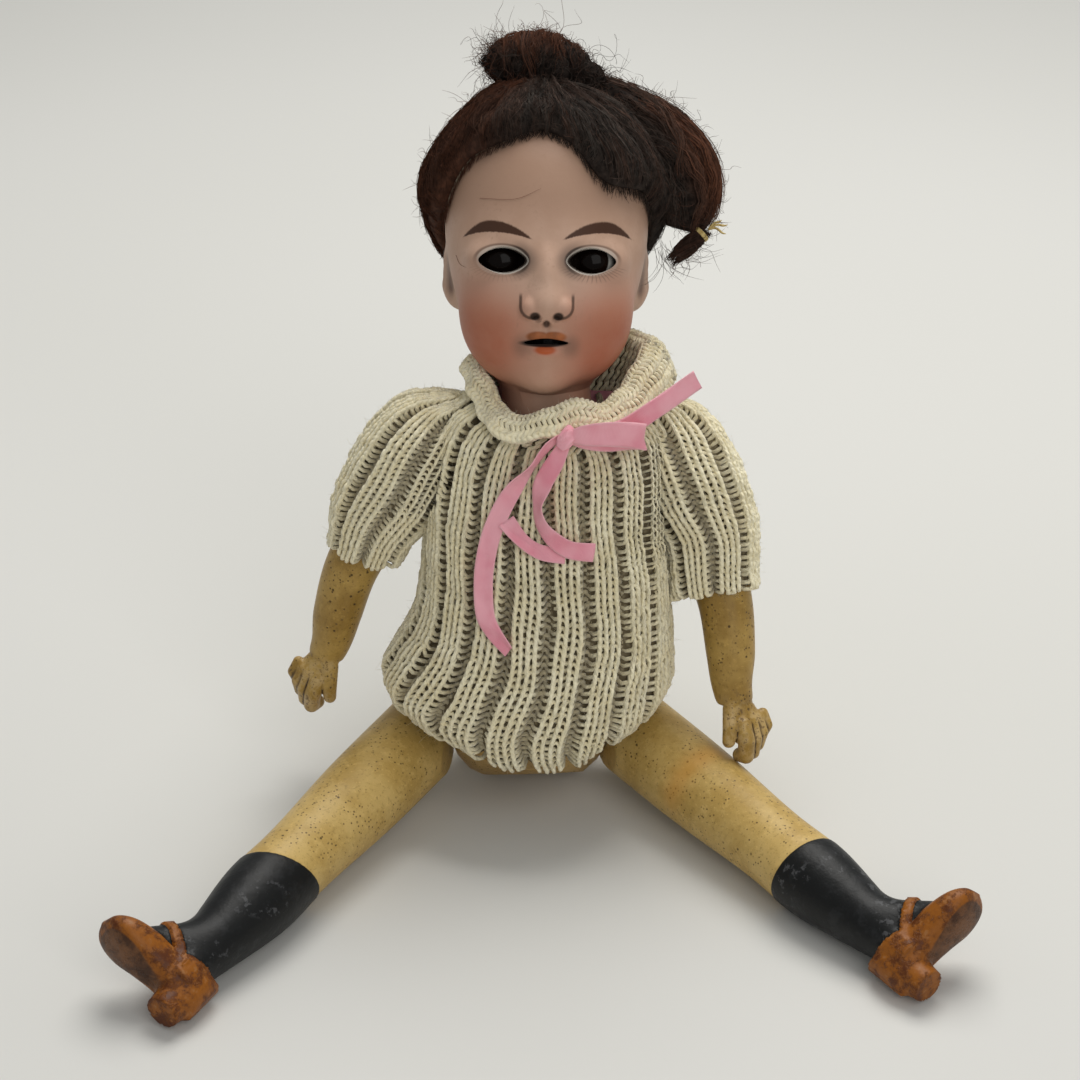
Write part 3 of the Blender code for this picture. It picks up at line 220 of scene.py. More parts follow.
def make(name, points, faces, finish, **kept):
    """Piece from world points in metres, with values kept on its points."""
    mesh = bpy.data.meshes.new(name)
    mesh.from_pydata(np.asarray(points).tolist(), [], [list(map(int, face)) for face in faces])
    mesh.polygons.foreach_set("use_smooth", [True] * len(mesh.polygons))
    mesh.materials.append(finish.material)
    keep_on(mesh, **kept)
    made = bpy.data.objects.new(name, mesh)
    scene.collection.objects.link(made)
    return made


card = Finish("pale_card", roughness=0.75, specular_ior_level=0.2)
tone = card.noise(card.place(), 3.0, 1.0).rise(0.2, 0.8)
card.set(base_color=card.mix(tone, (0.635, 0.63, 0.60), (0.665, 0.66, 0.635)))
floor = make("floor", [(-3, -3, -0.001), (3, -3, -0.001), (3, 3, -0.001), (-3, 3, -0.001)],
             [(0, 1, 2, 3)], card)


# Torso: two moulded half shells of composition, a paste of wood flour and glue, glued at the sides
# and varnished. The sweater hides all but the bottom.
def varnished(name, low, high):
    """Ochre varnished composition: pin holes, dirt in them, blotchy varnish and rubbed places."""
    made = Finish(name, specular_ior_level=0.28)
    where = made.place()
    blotch = made.noise(where, 90, 3.0, 0.6)
    made.tint = made.mix(blotch.rise(0.35, 0.68), low, high)
    streak = made.noise(where, 420, 4.0, 0.65)
    made.paint(streak.rise(0.52, 0.72) * 0.35, tuple(c * 1.25 for c in high))
    wear = made.noise(where, 1100, 4.0, 0.75)
    made.paint(wear.rise(0.54, 0.66) * 0.42, tuple(c * 0.52 for c in low))
    made.paint(wear.rise(0.42, 0.32) * 0.4, tuple(c * 1.35 for c in high))
    pits = made.spots(where, 950).rise(0.28, 0.12) * made.noise(where, 140, 2.0).rise(0.40, 0.56)
    specks = made.spots(where, 420).rise(0.17, 0.08) * made.noise(where, 75, 2.0).rise(0.46, 0.58)
    marks = pits.math("MAXIMUM", specks)
    made.paint(marks * 0.85, (0.055, 0.032, 0.012))
    made.set(roughness=blotch * 0.25 + 0.28 + marks * 0.3)
    made.bump(streak * 0.5 - marks, 0.00022, 0.7)
    return made


shell_finish = varnished("varnished_composition", (0.40, 0.25, 0.085), (0.55, 0.37, 0.145))


def rise(value, low, high):
    share = np.clip((value - low) / (high - low), 0, 1)
    return share * share * (3 - 2 * share)


BOTTOM_RISE = 0.0072      # how far the front of the bottom is above the solid's, in metres
for node in ("torso_front", "torso_back"):
    shape = bmesh.new()
    shape.from_mesh(frame["nodes"][node].data)
    bmesh.ops.remove_doubles(shape, verts=shape.verts, dist=1e-6)
    shape.verts.index_update()
    points = np.array([v.co[:] for v in shape.verts])
    faces = [[v.index for v in face.verts] for face in shape.faces]
    shape.free()
    points[:, 2] += BOTTOM_RISE * rise(points[:, 1], 0.007, -0.009) * rise(points[:, 2], 0.016, 0.003)
    shell = make(f"{node}_shell", points, faces, shell_finish)
    shell.data.set_sharp_from_angle(angle=35 * DEG)
    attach(shell, "torso")
    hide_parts(node)

# Stringing and inner fittings: iron wire hooks, covered elastic, a turned wooden neck plug, the
# pasteboard pate, the plaster eye bridge and the lead eye weight. All of them are hidden inside.
def refinish(finish, *nodes):
    """A solid that keeps its shape takes a better finish."""
    for node in nodes:
        mesh = frame["nodes"][node].data
        mesh.materials.clear()
        mesh.materials.append(finish.material)


wire_finish = Finish("iron_wire", metallic=1.0)
rust = wire_finish.noise(wire_finish.place(), 900, 3.0).rise(0.4, 0.7)
wire_finish.set(base_color=wire_finish.mix(rust, (0.24, 0.22, 0.20), (0.16, 0.075, 0.03)), roughness=rust * 0.4 + 0.35)
refinish(wire_finish, "arm_hook_left", "arm_hook_right", "leg_hook_left", "leg_hook_right",
         "neck_hook", "eye_axle", "eye_yoke")


def plain_stuff(name, low, high, scale, roughness):
    """Dull inner material with a grain of two tones."""
    made = Finish(name, roughness=roughness)
    grain = made.noise(made.place(), scale, 3.0, 0.6)
    made.set(base_color=made.mix(grain.rise(0.35, 0.65), low, high))
    made.bump(grain, 0.0002, 0.5)
    return made


refinish(plain_stuff("covered_elastic", (0.55, 0.51, 0.44), (0.75, 0.71, 0.63), 1600, 0.9),
         "arm_elastic", "leg_elastic")
refinish(plain_stuff("turned_wood", (0.33, 0.20, 0.10), (0.48, 0.32, 0.17), 400, 0.7), "neck_plug")
refinish(plain_stuff("pasteboard", (0.30, 0.20, 0.12), (0.42, 0.30, 0.18), 700, 0.9), "pate")
refinish(plain_stuff("plaster", (0.68, 0.65, 0.59), (0.80, 0.77, 0.71), 500, 0.95), "eye_bridge")
lead = plain_stuff("lead", (0.13, 0.13, 0.14), (0.22, 0.22, 0.23), 600, 0.5)
lead.set(metallic=0.9)
refinish(lead, "eye_weight")


# Arms: each is cast in composition in one with its half-closed fist, varnished ochre, and hangs from
# a wire hook in its flat shoulder face. The finger grooves are darkened with painted shade, and the knuckles are
# rubbed.
def through(*stations):
    """Smooth run through (place, number) stations, for many places at once."""
    places, numbers = np.array(stations, float).T
    ends = np.concatenate(([0], np.arange(len(places)), [len(places) - 1]))
    slopes = (numbers[ends[2:]] - numbers[ends[:-2]]) / (places[ends[2:]] - places[ends[:-2]])

    def run(value):
        value = np.clip(value, places[0], places[-1])
        i = np.clip(np.searchsorted(places, value) - 1, 0, len(places) - 2)
        span = places[i + 1] - places[i]
        t = (value - places[i]) / span
        start, end, out, into = numbers[i], numbers[i + 1], slopes[i] * span, slopes[i + 1] * span
        return (((2 * start - 2 * end + out + into) * t + 3 * end - 3 * start - 2 * out - into) * t + out) * t + start
    return run


def blend(first, second, width):
    """Union of two distances with a fillet."""
    share = np.clip(0.5 + 0.5 * (second - first) / width, 0, 1)
    return second * (1 - share) + first * share - width * share * (1 - share)


def finger(points, start, end, start_r, end_r):
    """Distance from a round-ended taper."""
    start, run = np.array(start, float), np.array(end, float) - start
    share = np.clip((points - start) @ run / (run @ run), 0, 1)
    return np.linalg.norm(points - start - share[:, None] * run, axis=1) - start_r - (end_r - start_r) * share


def skin_of(form, low, high, step):
    """Closed skin where a form's distance is zero: a point in each crossed cell, drawn onto the form."""
    axes = [np.arange(a, b + step, step) for a, b in zip(low, high)]
    grid = np.stack(np.meshgrid(*axes, indexing="ij"), -1)
    inside = (form(grid.reshape(-1, 3)) < 0).reshape(grid.shape[:3]).astype(int)
    count = sum(inside[i:i - 1 or None, j:j - 1 or None, k:k - 1 or None]
                for i in (0, 1) for j in (0, 1) for k in (0, 1))
    crossed = (count > 0) & (count < 8)
    number = np.full(crossed.shape, -1)
    number[crossed] = np.arange(crossed.sum())
    points = grid[:-1, :-1, :-1][crossed] + step / 2
    faces = []
    for axis in range(3):
        a, b = (axis + 1) % 3, (axis + 2) % 3
        change = np.diff(inside, axis=axis)
        edges = np.argwhere(change)
        edges = edges[(edges[:, a] > 0) & (edges[:, b] > 0) & (edges[:, a] < inside.shape[a] - 1)
                      & (edges[:, b] < inside.shape[b] - 1)]
        quads = []
        for da, db in ((-1, -1), (0, -1), (0, 0), (-1, 0)):
            cell = edges.copy()
            cell[:, a] += da
            cell[:, b] += db
            quads.append(number[tuple(cell.T)])
        quads = np.stack(quads, 1)
        turned = change[tuple(edges.T)] > 0
        quads[turned] = quads[turned, ::-1]
        faces.append(quads)
    for _ in range(5):
        value = form(points)
        slope = np.stack([form(points + d) - form(points - d) for d in np.eye(3) * step * 0.1], 1) / (step * 0.2)
        move = value[:, None] * slope / np.maximum((slope ** 2).sum(1), 0.05)[:, None]
        points = points - np.clip(move, -step * 0.4, step * 0.4)
    return points, np.concatenate(faces)


def in_frame(pose, points):
    """Local points in millimetres to world points in metres."""
    pose = np.array(pose)
    return (np.asarray(points) * MM) @ pose[:3, :3].T + pose[:3, 3]


TORSO_POSE = Matrix.Rotation(-9 * DEG, 4, "X") @ Matrix.Rotation(4 * DEG, 4, "Y")
SIDES = (("left", 1), ("right", -1))
SHOULDER_OUT, SHOULDER_BACK, SHOULDER_LEVEL, SHOULDER_TILT = 21.5, 0.5, 78.0, 12 * DEG
ARM_SET, SHOULDER_R = 7.5, 8.5
LIMB_GAP = 0.35                # between a limb's flat face and the torso
ARM_BOX, ARM_STEP = ((-0.6, -11, -71), (27, 11, 9.5)), 0.5
ARM_SWING = {"left": 18 * DEG, "right": -6 * DEG}
ARM_SPREAD = {"left": 0.108, "right": 0.165}
WRIST_DROP = 53.0
elbow_bow = through((0, 0), (14, 2.3), (30, 3.5), (43, 1.7), (51, 0.0), (60, -0.3))
arm_girth = through((0, SHOULDER_R), (30, 6.3), (44, 5.5), (53, 4.3), (60, 4.2))
HAND_TURN = 50 * DEG           # back of the hand faces outward and forward
FINGERS = ((-2.7, 0.9, 1.95), (0.0, 0.6, 1.6), (2.2, -0.8, 1.5), (4.1, -2.7, 1.3))  # place, longer by, radius


def arm_pose(name, side):
    """Frame of an arm and its sleeve, on the shoulder joint."""
    joint = Vector((side * SHOULDER_OUT, SHOULDER_BACK, SHOULDER_LEVEL)) * MM
    pose = TORSO_POSE @ Matrix.Translation(joint) @ Matrix.Rotation(-side * SHOULDER_TILT, 4, "Y")
    return pose @ Matrix.Rotation(-ARM_SWING[name], 4, "X")


def arm_middle(drop):
    """Where the arm's middle is, out from the shoulder face."""
    return ARM_SET + spread * np.clip(drop, 0, WRIST_DROP) + elbow_bow(drop)


def hand_point(across, out, drop):
    """Place in the hand: across from the index finger to the little one, out through its back."""
    x = arm_middle(WRIST_DROP) + 1.3 + out * math.cos(HAND_TURN) + across * math.sin(HAND_TURN)
    return x, -0.4 - out * math.sin(HAND_TURN) + across * math.cos(HAND_TURN), -drop


def finger_forms(points):
    made = []
    for place, longer, thick in FINGERS:
        knuckle = hand_point(place * 0.98, 2.4, 58.8 + 0.4 * longer)
        bow = hand_point(place * 1.06, 2.9, 62.4 + 0.7 * longer)
        bend = hand_point(place * 0.86, 1.5, 65.4 + longer)
        tip = hand_point(place * 0.80, -0.6, 65.2 + longer)
        bones = ((knuckle, bow, thick, thick), (bow, bend, thick, thick - 0.1), (bend, tip, thick - 0.1, thick - 0.25))
        made.append(np.min([finger(points, *bone) for bone in bones], axis=0))
    thumb = np.minimum(finger(points, hand_point(-3.6, 0.4, 55.2), hand_point(-5.3, 0.9, 59.6), 2.0, 1.8),
                       finger(points, hand_point(-5.3, 0.9, 59.6), hand_point(-6.0, 0.5, 62.2), 1.8, 1.5))
    return made + [thumb]


def arm_form(points):
    """Arm in its own frame: x outward, the arm hanging along -z."""
    drop = -points[:, 2]
    limb = np.hypot(points[:, 0] - arm_middle(drop), points[:, 1]) - arm_girth(drop)
    limb = np.where(drop < 0, np.linalg.norm(points - (ARM_SET, 0, 0), axis=1) - SHOULDER_R, limb)
    limb = -blend(-limb, 55.2 - drop, 3.0)                  # rounded off in the hand
    limb += 0.3 * np.exp(-((drop - 54.6) / 0.5) ** 2)       # groove round the wrist
    palm = np.array(hand_point(0, 0.3, 59.5))
    turn = np.array(((math.cos(HAND_TURN), -math.sin(HAND_TURN), 0), (math.sin(HAND_TURN), math.cos(HAND_TURN), 0),
                     (0, 0, 1)))
    reach = (points - palm) @ turn.T / (3.3, 4.6, 5.0)
    form = blend(limb, (np.linalg.norm(reach, axis=1) - 1) * 3.4, 2.2)
    for one in finger_forms(points):
        form = blend(form, one, 0.45)
    return np.maximum(form, LIMB_GAP - points[:, 0])


arm_finish = varnished("varnished_arm", (0.31, 0.185, 0.042), (0.45, 0.29, 0.08))
down = arm_finish.axes(arm_finish.kept("local", "Vector"))[2] * -1
rub = down.rise(50, 58) * arm_finish.noise(arm_finish.place(), 350, 4.0, 0.7).rise(0.42, 0.6)
arm_finish.paint(rub * 0.75, (0.54, 0.38, 0.17))
scab = arm_finish.noise(arm_finish.place(), 700, 3.0, 0.7).rise(0.56, 0.66) * down.rise(49, 55)
arm_finish.paint(scab * 0.7, (0.09, 0.045, 0.015))
# painted shade in the grooves between the fingers
arm_finish.paint(arm_finish.kept("groove").rise(0.25, 0.9), (0.035, 0.017, 0.008))
for name, side in SIDES:
    pose = arm_pose(name, side)
    spread = ARM_SPREAD[name]
    arm_points, faces = skin_of(arm_form, *ARM_BOX, ARM_STEP)
    reaches = np.sort(np.stack(finger_forms(arm_points)), axis=0)
    # how far into a groove between two fingers, for the painted shade there
    finger_groove_shade = np.exp(-(reaches[1] - reaches[0]) / 0.5) * rise(-arm_points[:, 2], 57, 60)
    faces = faces if side > 0 else faces[:, ::-1]
    arm = make(f"cast_arm_{name}", in_frame(pose, arm_points * (side, 1, 1)), faces, arm_finish,
               local=arm_points, groove=finger_groove_shade)
    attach(arm, f"arm_{name}")
    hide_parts(f"arm_{name}")

# Legs: cast in composition in one with a raised stocking and a heeled strap shoe. The skin is
# varnished ochre, the stocking brushed black, the shoe orange-brown with a darker sole.
LEG_LENGTH, HIP_R = 101.0, 10.3
HIP_OUT, HIP_BACK, LEG_SET = 17.6, 1.5, 7.0
LEG_BOX, LEG_STEP = ((-12, -105, -12), (12, 12, 21)), 0.62
HIP_HEIGHT, HIP_TURN, LEG_SPLAY, LEG_ROLL, LEG_PITCH = 12.5, 12 * DEG, 34 * DEG, 54 * DEG, 3.8 * DEG
leg_girth = through((0, HIP_R), (25.5, 10.0), (46, 8.9), (53, 8.7), (66, 8.8), (78, 7.2), (88, 5.6), (96, 5.4))
shoe_width = through((-8, 0.1), (-7.4, 2.6), (-5, 4.6), (0, 5.2), (6, 5.7), (12, 6.5), (16, 5.9), (18.6, 3.6),
                     (19.5, 0.1))
shoe_top = through((-8, 11.5), (-3, 11.2), (4, 9.4), (10, 8.4), (15, 6.8), (18, 5.0), (19.5, 3.2))
shoe_sole = through((-8, 0.6), (-4, 0.2), (2, 0.9), (7, 0.5), (12, 0.0), (17, 0.8), (19.5, 2.4))
shoe_edge = through((-8, 10.6), (-2, 9.4), (4, 8.0), (8, 7.6), (9.5, 8.8), (11, 14))
HEEL_PLACE, HEEL_R, HEEL_HEIGHT = -2.7, 4.1, 2.8
SHOE_BACK, SHOE_FRONT, SHOE_FULLNESS = -8.0, 19.5, 2.6


def leg_parts(points):
    """Distances from the stockinged leg, the shoe with its heel, and the strap; x across, -y down, z ahead."""
    x, reach, ahead = points[:, 0], -points[:, 1], points[:, 2]
    limb = np.hypot(x, ahead) - leg_girth(reach)
    limb = np.where(reach < 0, np.linalg.norm(points, axis=1) - HIP_R, limb)
    limb = np.maximum(limb, reach - 97)
    foot = blend(finger(points, (0, -84, 0.8), (0, -96.0, 10.5), 5.0, 3.9), limb, 3.0)
    rise_up = LEG_LENGTH - reach
    low, high = shoe_sole(ahead), shoe_top(ahead)
    middle, half = (low + high) / 2, np.maximum((high - low) / 2, 0.1)
    wide = np.maximum(shoe_width(ahead), 0.1)
    squared = (np.abs(x) / wide) ** SHOE_FULLNESS + (np.abs(rise_up - middle) / half) ** SHOE_FULLNESS
    shoe = (squared ** (1 / SHOE_FULLNESS) - 1) * np.minimum(wide, half)
    shoe = np.maximum(shoe, np.maximum(SHOE_BACK - ahead, ahead - SHOE_FRONT))
    shoe = np.maximum(np.minimum(shoe, np.maximum(foot - 0.55, ahead - 6.5)), rise_up - shoe_edge(ahead))
    heel_taper = HEEL_R + 0.12 * rise_up
    heel = np.maximum(np.hypot(x, ahead - HEEL_PLACE) - heel_taper, np.maximum(-HEEL_HEIGHT - rise_up, rise_up - 3))
    shoe = blend(shoe, heel, 1.0)
    along = (points - (0, -91.2, 6.0)) @ np.array((0, -0.80, 0.60))
    strap = np.maximum(foot - 0.75, np.maximum(np.abs(along) - 1.1, 1.0 - ahead))
    return foot, shoe, strap


STOCKING_EDGE, STOCKING_THICK = {"left": (62.0, 0.12), "right": (58.4, 0.38)}, 0.22
leg_finish = varnished("varnished_leg", (0.46, 0.30, 0.085), (0.58, 0.405, 0.145))
where = leg_finish.place()
stocking, upper, sole = (leg_finish.kept(k) for k in ("stocking", "upper", "sole"))
leg_finish.paint(leg_finish.kept("stain"), (0.62, 0.29, 0.05))
scuff = leg_finish.noise(where, 230, 4.0, 0.7)
black = leg_finish.mix(scuff.rise(0.5, 0.66) * 0.8, (0.003, 0.0035, 0.0037), (0.013, 0.0138, 0.015))
chips = leg_finish.noise(where, 480, 3.0, 0.7).rise(0.55, 0.64) * leg_finish.noise(where, 60, 1.0).rise(0.5, 0.6)
black = leg_finish.mix(chips * 0.8, black, (0.065, 0.066, 0.07))
crack = leg_finish.noise(where, 260, 5.0, 0.72)
orange = leg_finish.mix(crack.rise(0.36, 0.6), (0.085, 0.020, 0.002), (0.27, 0.086, 0.006))
orange = leg_finish.mix(leg_finish.noise(where, 520, 3.0, 0.6).rise(0.6, 0.7) * 0.6, orange, (0.30, 0.14, 0.05))
brown = leg_finish.mix(scuff.rise(0.35, 0.62), (0.055, 0.020, 0.007), (0.15, 0.062, 0.022))
orange = leg_finish.mix(sole.rise(0.2, 0.8), orange, brown)
painted = stocking.rise(-0.12, 0.12)
leg_finish.paint(painted, black)
leg_finish.paint(upper.rise(-0.08, 0.08), orange)
leg_finish.set(roughness=leg_finish.mix(painted, (0.42,) * 3, (0.46,) * 3))
relief = leg_finish.noise(where, 420, 4.0, 0.65) * 0.6 + crack.rise(0.5, 0.44) * upper.rise(-0.1, 0.1) * 0.5
leg_finish.bump(relief, 0.0003, 0.7)
for name, side in SIDES:
    axis = Vector((side * math.cos(HIP_TURN), math.sin(HIP_TURN), 0))
    hip = Vector((side * HIP_OUT, HIP_BACK, HIP_HEIGHT)) * MM
    pose = Matrix.Translation(hip + axis * (LEG_SET * MM)) @ Matrix.Rotation(side * LEG_SPLAY, 4, "Z")
    pose = pose @ Matrix.Rotation(LEG_PITCH, 4, "X") @ Matrix.Rotation(side * LEG_ROLL, 4, "Y")
    face_normal = pose.to_3x3().transposed() @ axis
    face_place = pose.inverted() @ hip * 1000
    edge, slope = STOCKING_EDGE[name]

    def past_edge(points):
        """How far down the leg from the slanting top of the stocking."""
        return -points[:, 1] - edge - slope * points[:, 2]

    def leg_form(points):
        foot, shoe, strap = leg_parts(points)
        foot = foot - STOCKING_THICK * rise(past_edge(points), -0.3, 0.25) * rise(-points[:, 1], 98, 70)
        form = np.minimum(np.minimum(foot, strap), shoe)
        face = (points - np.array(face_place)) @ np.array(face_normal)
        return np.maximum(form, LIMB_GAP - face)

    points, faces = skin_of(leg_form, *LEG_BOX, LEG_STEP)
    foot, shoe, strap = leg_parts(points)
    reach = -points[:, 1]
    underside = rise(points[:, 1], -99.6, -100.2) * rise(points[:, 2], 0.5, 3.0)
    spot = np.exp(-((reach - 27) / 3.0) ** 2 - ((points[:, 0] + side * 9) / 4.5) ** 2) * (side > 0) * 0.5
    leg = make(f"cast_leg_{name}", in_frame(pose, points), faces, leg_finish,
               stocking=past_edge(points), upper=foot - 0.05 - np.minimum(shoe, strap), sole=underside, stain=spot)
    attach(leg, f"leg_{name}")
    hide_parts(f"leg_{name}")

# Head: poured bisque, hollow, with the crown cut off, ears and features in the mould, and the eye and
# mouth openings cut with a knife. The flesh tint, blush, brows, lashes and lips are fired-on paint.
NECK_AHEAD, NECK_LEVEL = 3.5, 87.0
NECK_PLACE = TORSO_POSE @ (Vector((0, -NECK_AHEAD, NECK_LEVEL)) * MM)
NECK_POSE = Matrix.Translation(NECK_PLACE) @ Matrix.Rotation(-10 * DEG, 4, "X")
SOCKET_POSE = NECK_POSE @ Matrix.Rotation(-13 * DEG, 4, "X")
HEAD_MIDDLE = np.array((0, 0, 40.0))
EYE_OUT, EYE_LEVEL, EYE_R, BALL_R, CAVITY_R = 9.8, 39.5, 6.0, 5.6, 6.9
MOUTH_LEVEL, NOSE_LEVEL = 22.2, 30.0
CRANIUM, FACE = ((0, 4, 48.5), (22.6, 26, 26)), ((0, -4.5, 33), (18.5, 19, 22), 2.4)    # middle, radii, fullness
CHEEK_OUT, CHEEK_AHEAD, CHEEK_LEVEL, CHEEK_R = 7.3, 11.5, 27, 9.6
CHIN_PLACE, CHIN_R = (0, -15.2, 17.4), 6.3
NECK_R, NECK_BALL_R, NECK_BORE_R = 9.8, 11, 4.5
WALL, CROWN_LEVEL, CROWN_TILT = 2.6, 61, -24 * DEG


def oval(points, centre, radii, fullness=2.0):
    """Distance from an oval; a fullness above 2 squares it off."""
    radii = np.array(radii, float)
    scaled = np.maximum(np.abs((points - np.array(centre)) / radii), 1e-9)
    length = (scaled ** fullness).sum(axis=1) ** (1 / fullness)
    slope = scaled ** (fullness - 1) / radii * length[:, None] ** (1 - fullness)
    return (length - 1) / np.linalg.norm(slope, axis=1)


def skull(points):
    """Distance from the head without its features."""
    form = blend(oval(points, *CRANIUM), oval(points, *FACE), 8)
    for side in (-1, 1):
        form = blend(form, oval(points, (side * CHEEK_OUT, -CHEEK_AHEAD, CHEEK_LEVEL), [CHEEK_R] * 3), 6)
    form = blend(form, oval(points, CHIN_PLACE, [CHIN_R] * 3), 4)
    neck = np.linalg.norm(points[:, :2], axis=1) - NECK_R
    neck = np.maximum(neck, np.maximum(-points[:, 2], points[:, 2] - CRANIUM[0][2]))
    return np.minimum(blend(form, neck, 3), np.linalg.norm(points, axis=1) - NECK_BALL_R)


def front_of(form, out, level):
    """Front of a form at a place on the face."""
    near, far = -60.0, 0.0
    for _ in range(30):
        middle = (near + far) / 2
        near, far = (near, middle) if form(np.array([(out, middle, level)]))[0] < 0 else (middle, far)
    return near


NOSE_FRONT, MOUTH_FRONT = front_of(skull, 0, NOSE_LEVEL), front_of(skull, 0, MOUTH_LEVEL)
EYE_DEPTH = front_of(skull, EYE_OUT, EYE_LEVEL) + 1.6 + EYE_R
askew = Matrix.Translation(Vector((-1.0, EYE_DEPTH, EYE_LEVEL + 0.9)) * MM) @ Matrix.Rotation(-2.5 * DEG, 4, "Z")
askew = askew @ Matrix.Rotation(2 * DEG, 4, "Y") @ Matrix.Rotation(-1.5 * DEG, 4, "X")
HEAD_POSE = SOCKET_POSE @ askew @ Matrix.Translation(Vector((0, -EYE_DEPTH, -EYE_LEVEL)) * MM)


def head_form(points):
    """Head with nose, lids, lips and ears."""
    form = skull(points)
    nose_tip = oval(points, (0, NOSE_FRONT + 0.6, NOSE_LEVEL), [4.2] * 3)
    nose_bridge = oval(points, (0, NOSE_FRONT + 1.2, NOSE_LEVEL + 4.8), (2.5, 3.6, 7.2))
    lower_lip = oval(points, (0, MOUTH_FRONT + 0.9, 20.2), (3.4, 1.9, 1.5))
    form = blend(blend(blend(form, nose_tip, 2.5), nose_bridge, 2.5), lower_lip, 0.9)
    for side in (-1, 1):
        lids = oval(points, (side * EYE_OUT, EYE_DEPTH, EYE_LEVEL), (7.9, 7.95, 5.4))
        nose_wing = oval(points, (side * 3.4, NOSE_FRONT - 0.4, 29.4), (2.25, 2.5, 2.5))
        upper_lip = oval(points, (side * 2.0, MOUTH_FRONT + 0.8, 23.7), (2.9, 1.9, 1.25))
        ear = oval(points, (side * 19, 4, 36.5), (4.4, 4, 8))
        form = blend(blend(blend(blend(form, lids, 1.6), nose_wing, 0.6), upper_lip, 0.7), ear, 1.5)
    for side in (-1, 1):
        nostril = oval(points, (side * 2.1, NOSE_FRONT - 2.1, 27.2), (0.95, 1.7, 0.75))
        ear_hollow = oval(points, (side * 23.4, 2.2, 37), (1.5, 2.0, 4.8))
        form = -blend(blend(-form, nostril, 0.5), ear_hollow, 0.8)
    lip_groove = oval(points, (0, NOSE_FRONT - 0.5, 25.6), (0.8, 1.2, 1.3))
    return -blend(-form, lip_groove, 0.8)


def aim_of(turn, polar):
    """Ways out from the head's middle: turn from the face, polar from the top, in radians."""
    turn, polar = np.broadcast_arrays(turn, polar)
    return np.stack((np.sin(polar) * np.sin(turn), -np.sin(polar) * np.cos(turn), np.cos(polar)), -1)


def reach_to(form, level, aims):
    """How far from the head's middle each way out comes to a form's level."""
    near, far = np.zeros(len(aims)), np.full(len(aims), 90.0)
    for _ in range(26):
        middle = (near + far) / 2
        inside = form(HEAD_MIDDLE + aims * middle[:, None]) < level
        near, far = np.where(inside, middle, near), np.where(inside, far, middle)
    return near


def radial_skin(form, level, turns, polars):
    """Closed skin of rings round the head's middle, where a form's distance reaches a level."""
    aims = aim_of(turns * DEG, (polars * DEG)[1:-1, None]).reshape(-1, 3)
    aims = np.concatenate(([(0, 0, 1)], aims, [(0, 0, -1)]))
    count, rings = len(turns), len(polars) - 2
    faces = [(1 + i, 1 + (i + 1) % count, 0) for i in range(count)]
    for r in range(rings - 1):
        for i in range(count):
            j = (i + 1) % count
            faces.append((1 + r * count + i, 1 + (r + 1) * count + i, 1 + (r + 1) * count + j, 1 + r * count + j))
    last = 1 + (rings - 1) * count
    faces += [(len(aims) - 1, last + (i + 1) % count, last + i) for i in range(count)]
    return HEAD_MIDDLE + aims * reach_to(form, level, aims)[:, None], faces


def ring_faces(rings, count, looped=False):
    """Faces between rings of equal counts; looped, also from the last ring to the first."""
    faces = []
    for r in range(rings if looped else rings - 1):
        low, high = r * count, (r + 1) % rings * count
        faces += [(low + i, low + (i + 1) % count, high + (i + 1) % count, high + i) for i in range(count)]
    return faces


def rings_skin(rings):
    """Closed skin through rings of equal counts, its ends capped."""
    count = len(rings[0])
    points = np.concatenate(rings)
    caps = [tuple(range(count))[::-1], tuple(range(len(points) - count, len(points)))]
    return points, caps + ring_faces(len(rings), count)


def ball_rings(radius, turns, polars):
    """Rings of a ball, from its bottom up."""
    return [radius * np.stack((np.sin(p) * np.cos(turns), np.sin(p) * np.sin(turns), 0 * turns - np.cos(p)), 1)
            for p in polars]


def circle(count):
    """Angles once round, in radians."""
    return np.linspace(0, 2 * np.pi, count, endpoint=False)


def flipped(faces):
    """Faces with their other side out."""
    return [face[::-1] for face in faces]


def steps(*runs):
    """Numbers from (start, end, step) runs."""
    return np.concatenate([np.arange(*run) for run in runs])


bisque = Finish("painted_bisque", specular_ior_level=0.22)
blank, blank_faces = radial_skin(head_form, 0.0, steps((-76, -30, 1.2), (-30, 30, 0.65), (30, 76, 1.2), (76, 284, 4)),
                                 steps((0, 48, 4), (48, 84, 1.2), (84, 132, 0.7), (132, 152, 1.2), (152, 181, 4)))
head = make("bisque_head", blank, blank_faces, bisque)
coarse = (steps((-180, 180, 10)), steps((0, 181, 6)))
cutters = [radial_skin(skull, -WALL, *coarse)]
round_turn = circle(48)
bore = np.stack((np.cos(round_turn), np.sin(round_turn), round_turn * 0), 1) * NECK_BORE_R
cutters.append(rings_skin([bore + (0, 0, z) for z in (-22, 0)]))
crown = Matrix.Translation((0, 0, CROWN_LEVEL)) @ Matrix.Rotation(CROWN_TILT, 4, "X")
corners = [[(crown @ Vector((x, y, z)))[:] for x, y in ((-80, -80), (80, -80), (80, 80), (-80, 80))] for z in (0, 80)]
cutters.append(rings_skin(np.array(corners)))
for side in (-1, 1):
    socket = (side * EYE_OUT, EYE_DEPTH, EYE_LEVEL)
    cavity = ball_rings(CAVITY_R, round_turn, np.linspace(0, np.pi, 26)[1:-1])
    cutters.append(rings_skin([ring + socket for ring in cavity]))
    almond = []
    for depth, wider in ((-1.8, 0.0), (-6.6, 0.0), (-13, 2.0)):
        across = np.cos(round_turn + 0.03)
        up = np.sin(round_turn + 0.03) * (1 - 0.3 * across ** 2)
        almond.append(np.stack((side * EYE_OUT + across * (5.0 + wider), round_turn * 0 + EYE_DEPTH + depth,
                                EYE_LEVEL + up * (2.6 + wider)), 1)[::-1])
    cutters.append(rings_skin(almond))
slot = []
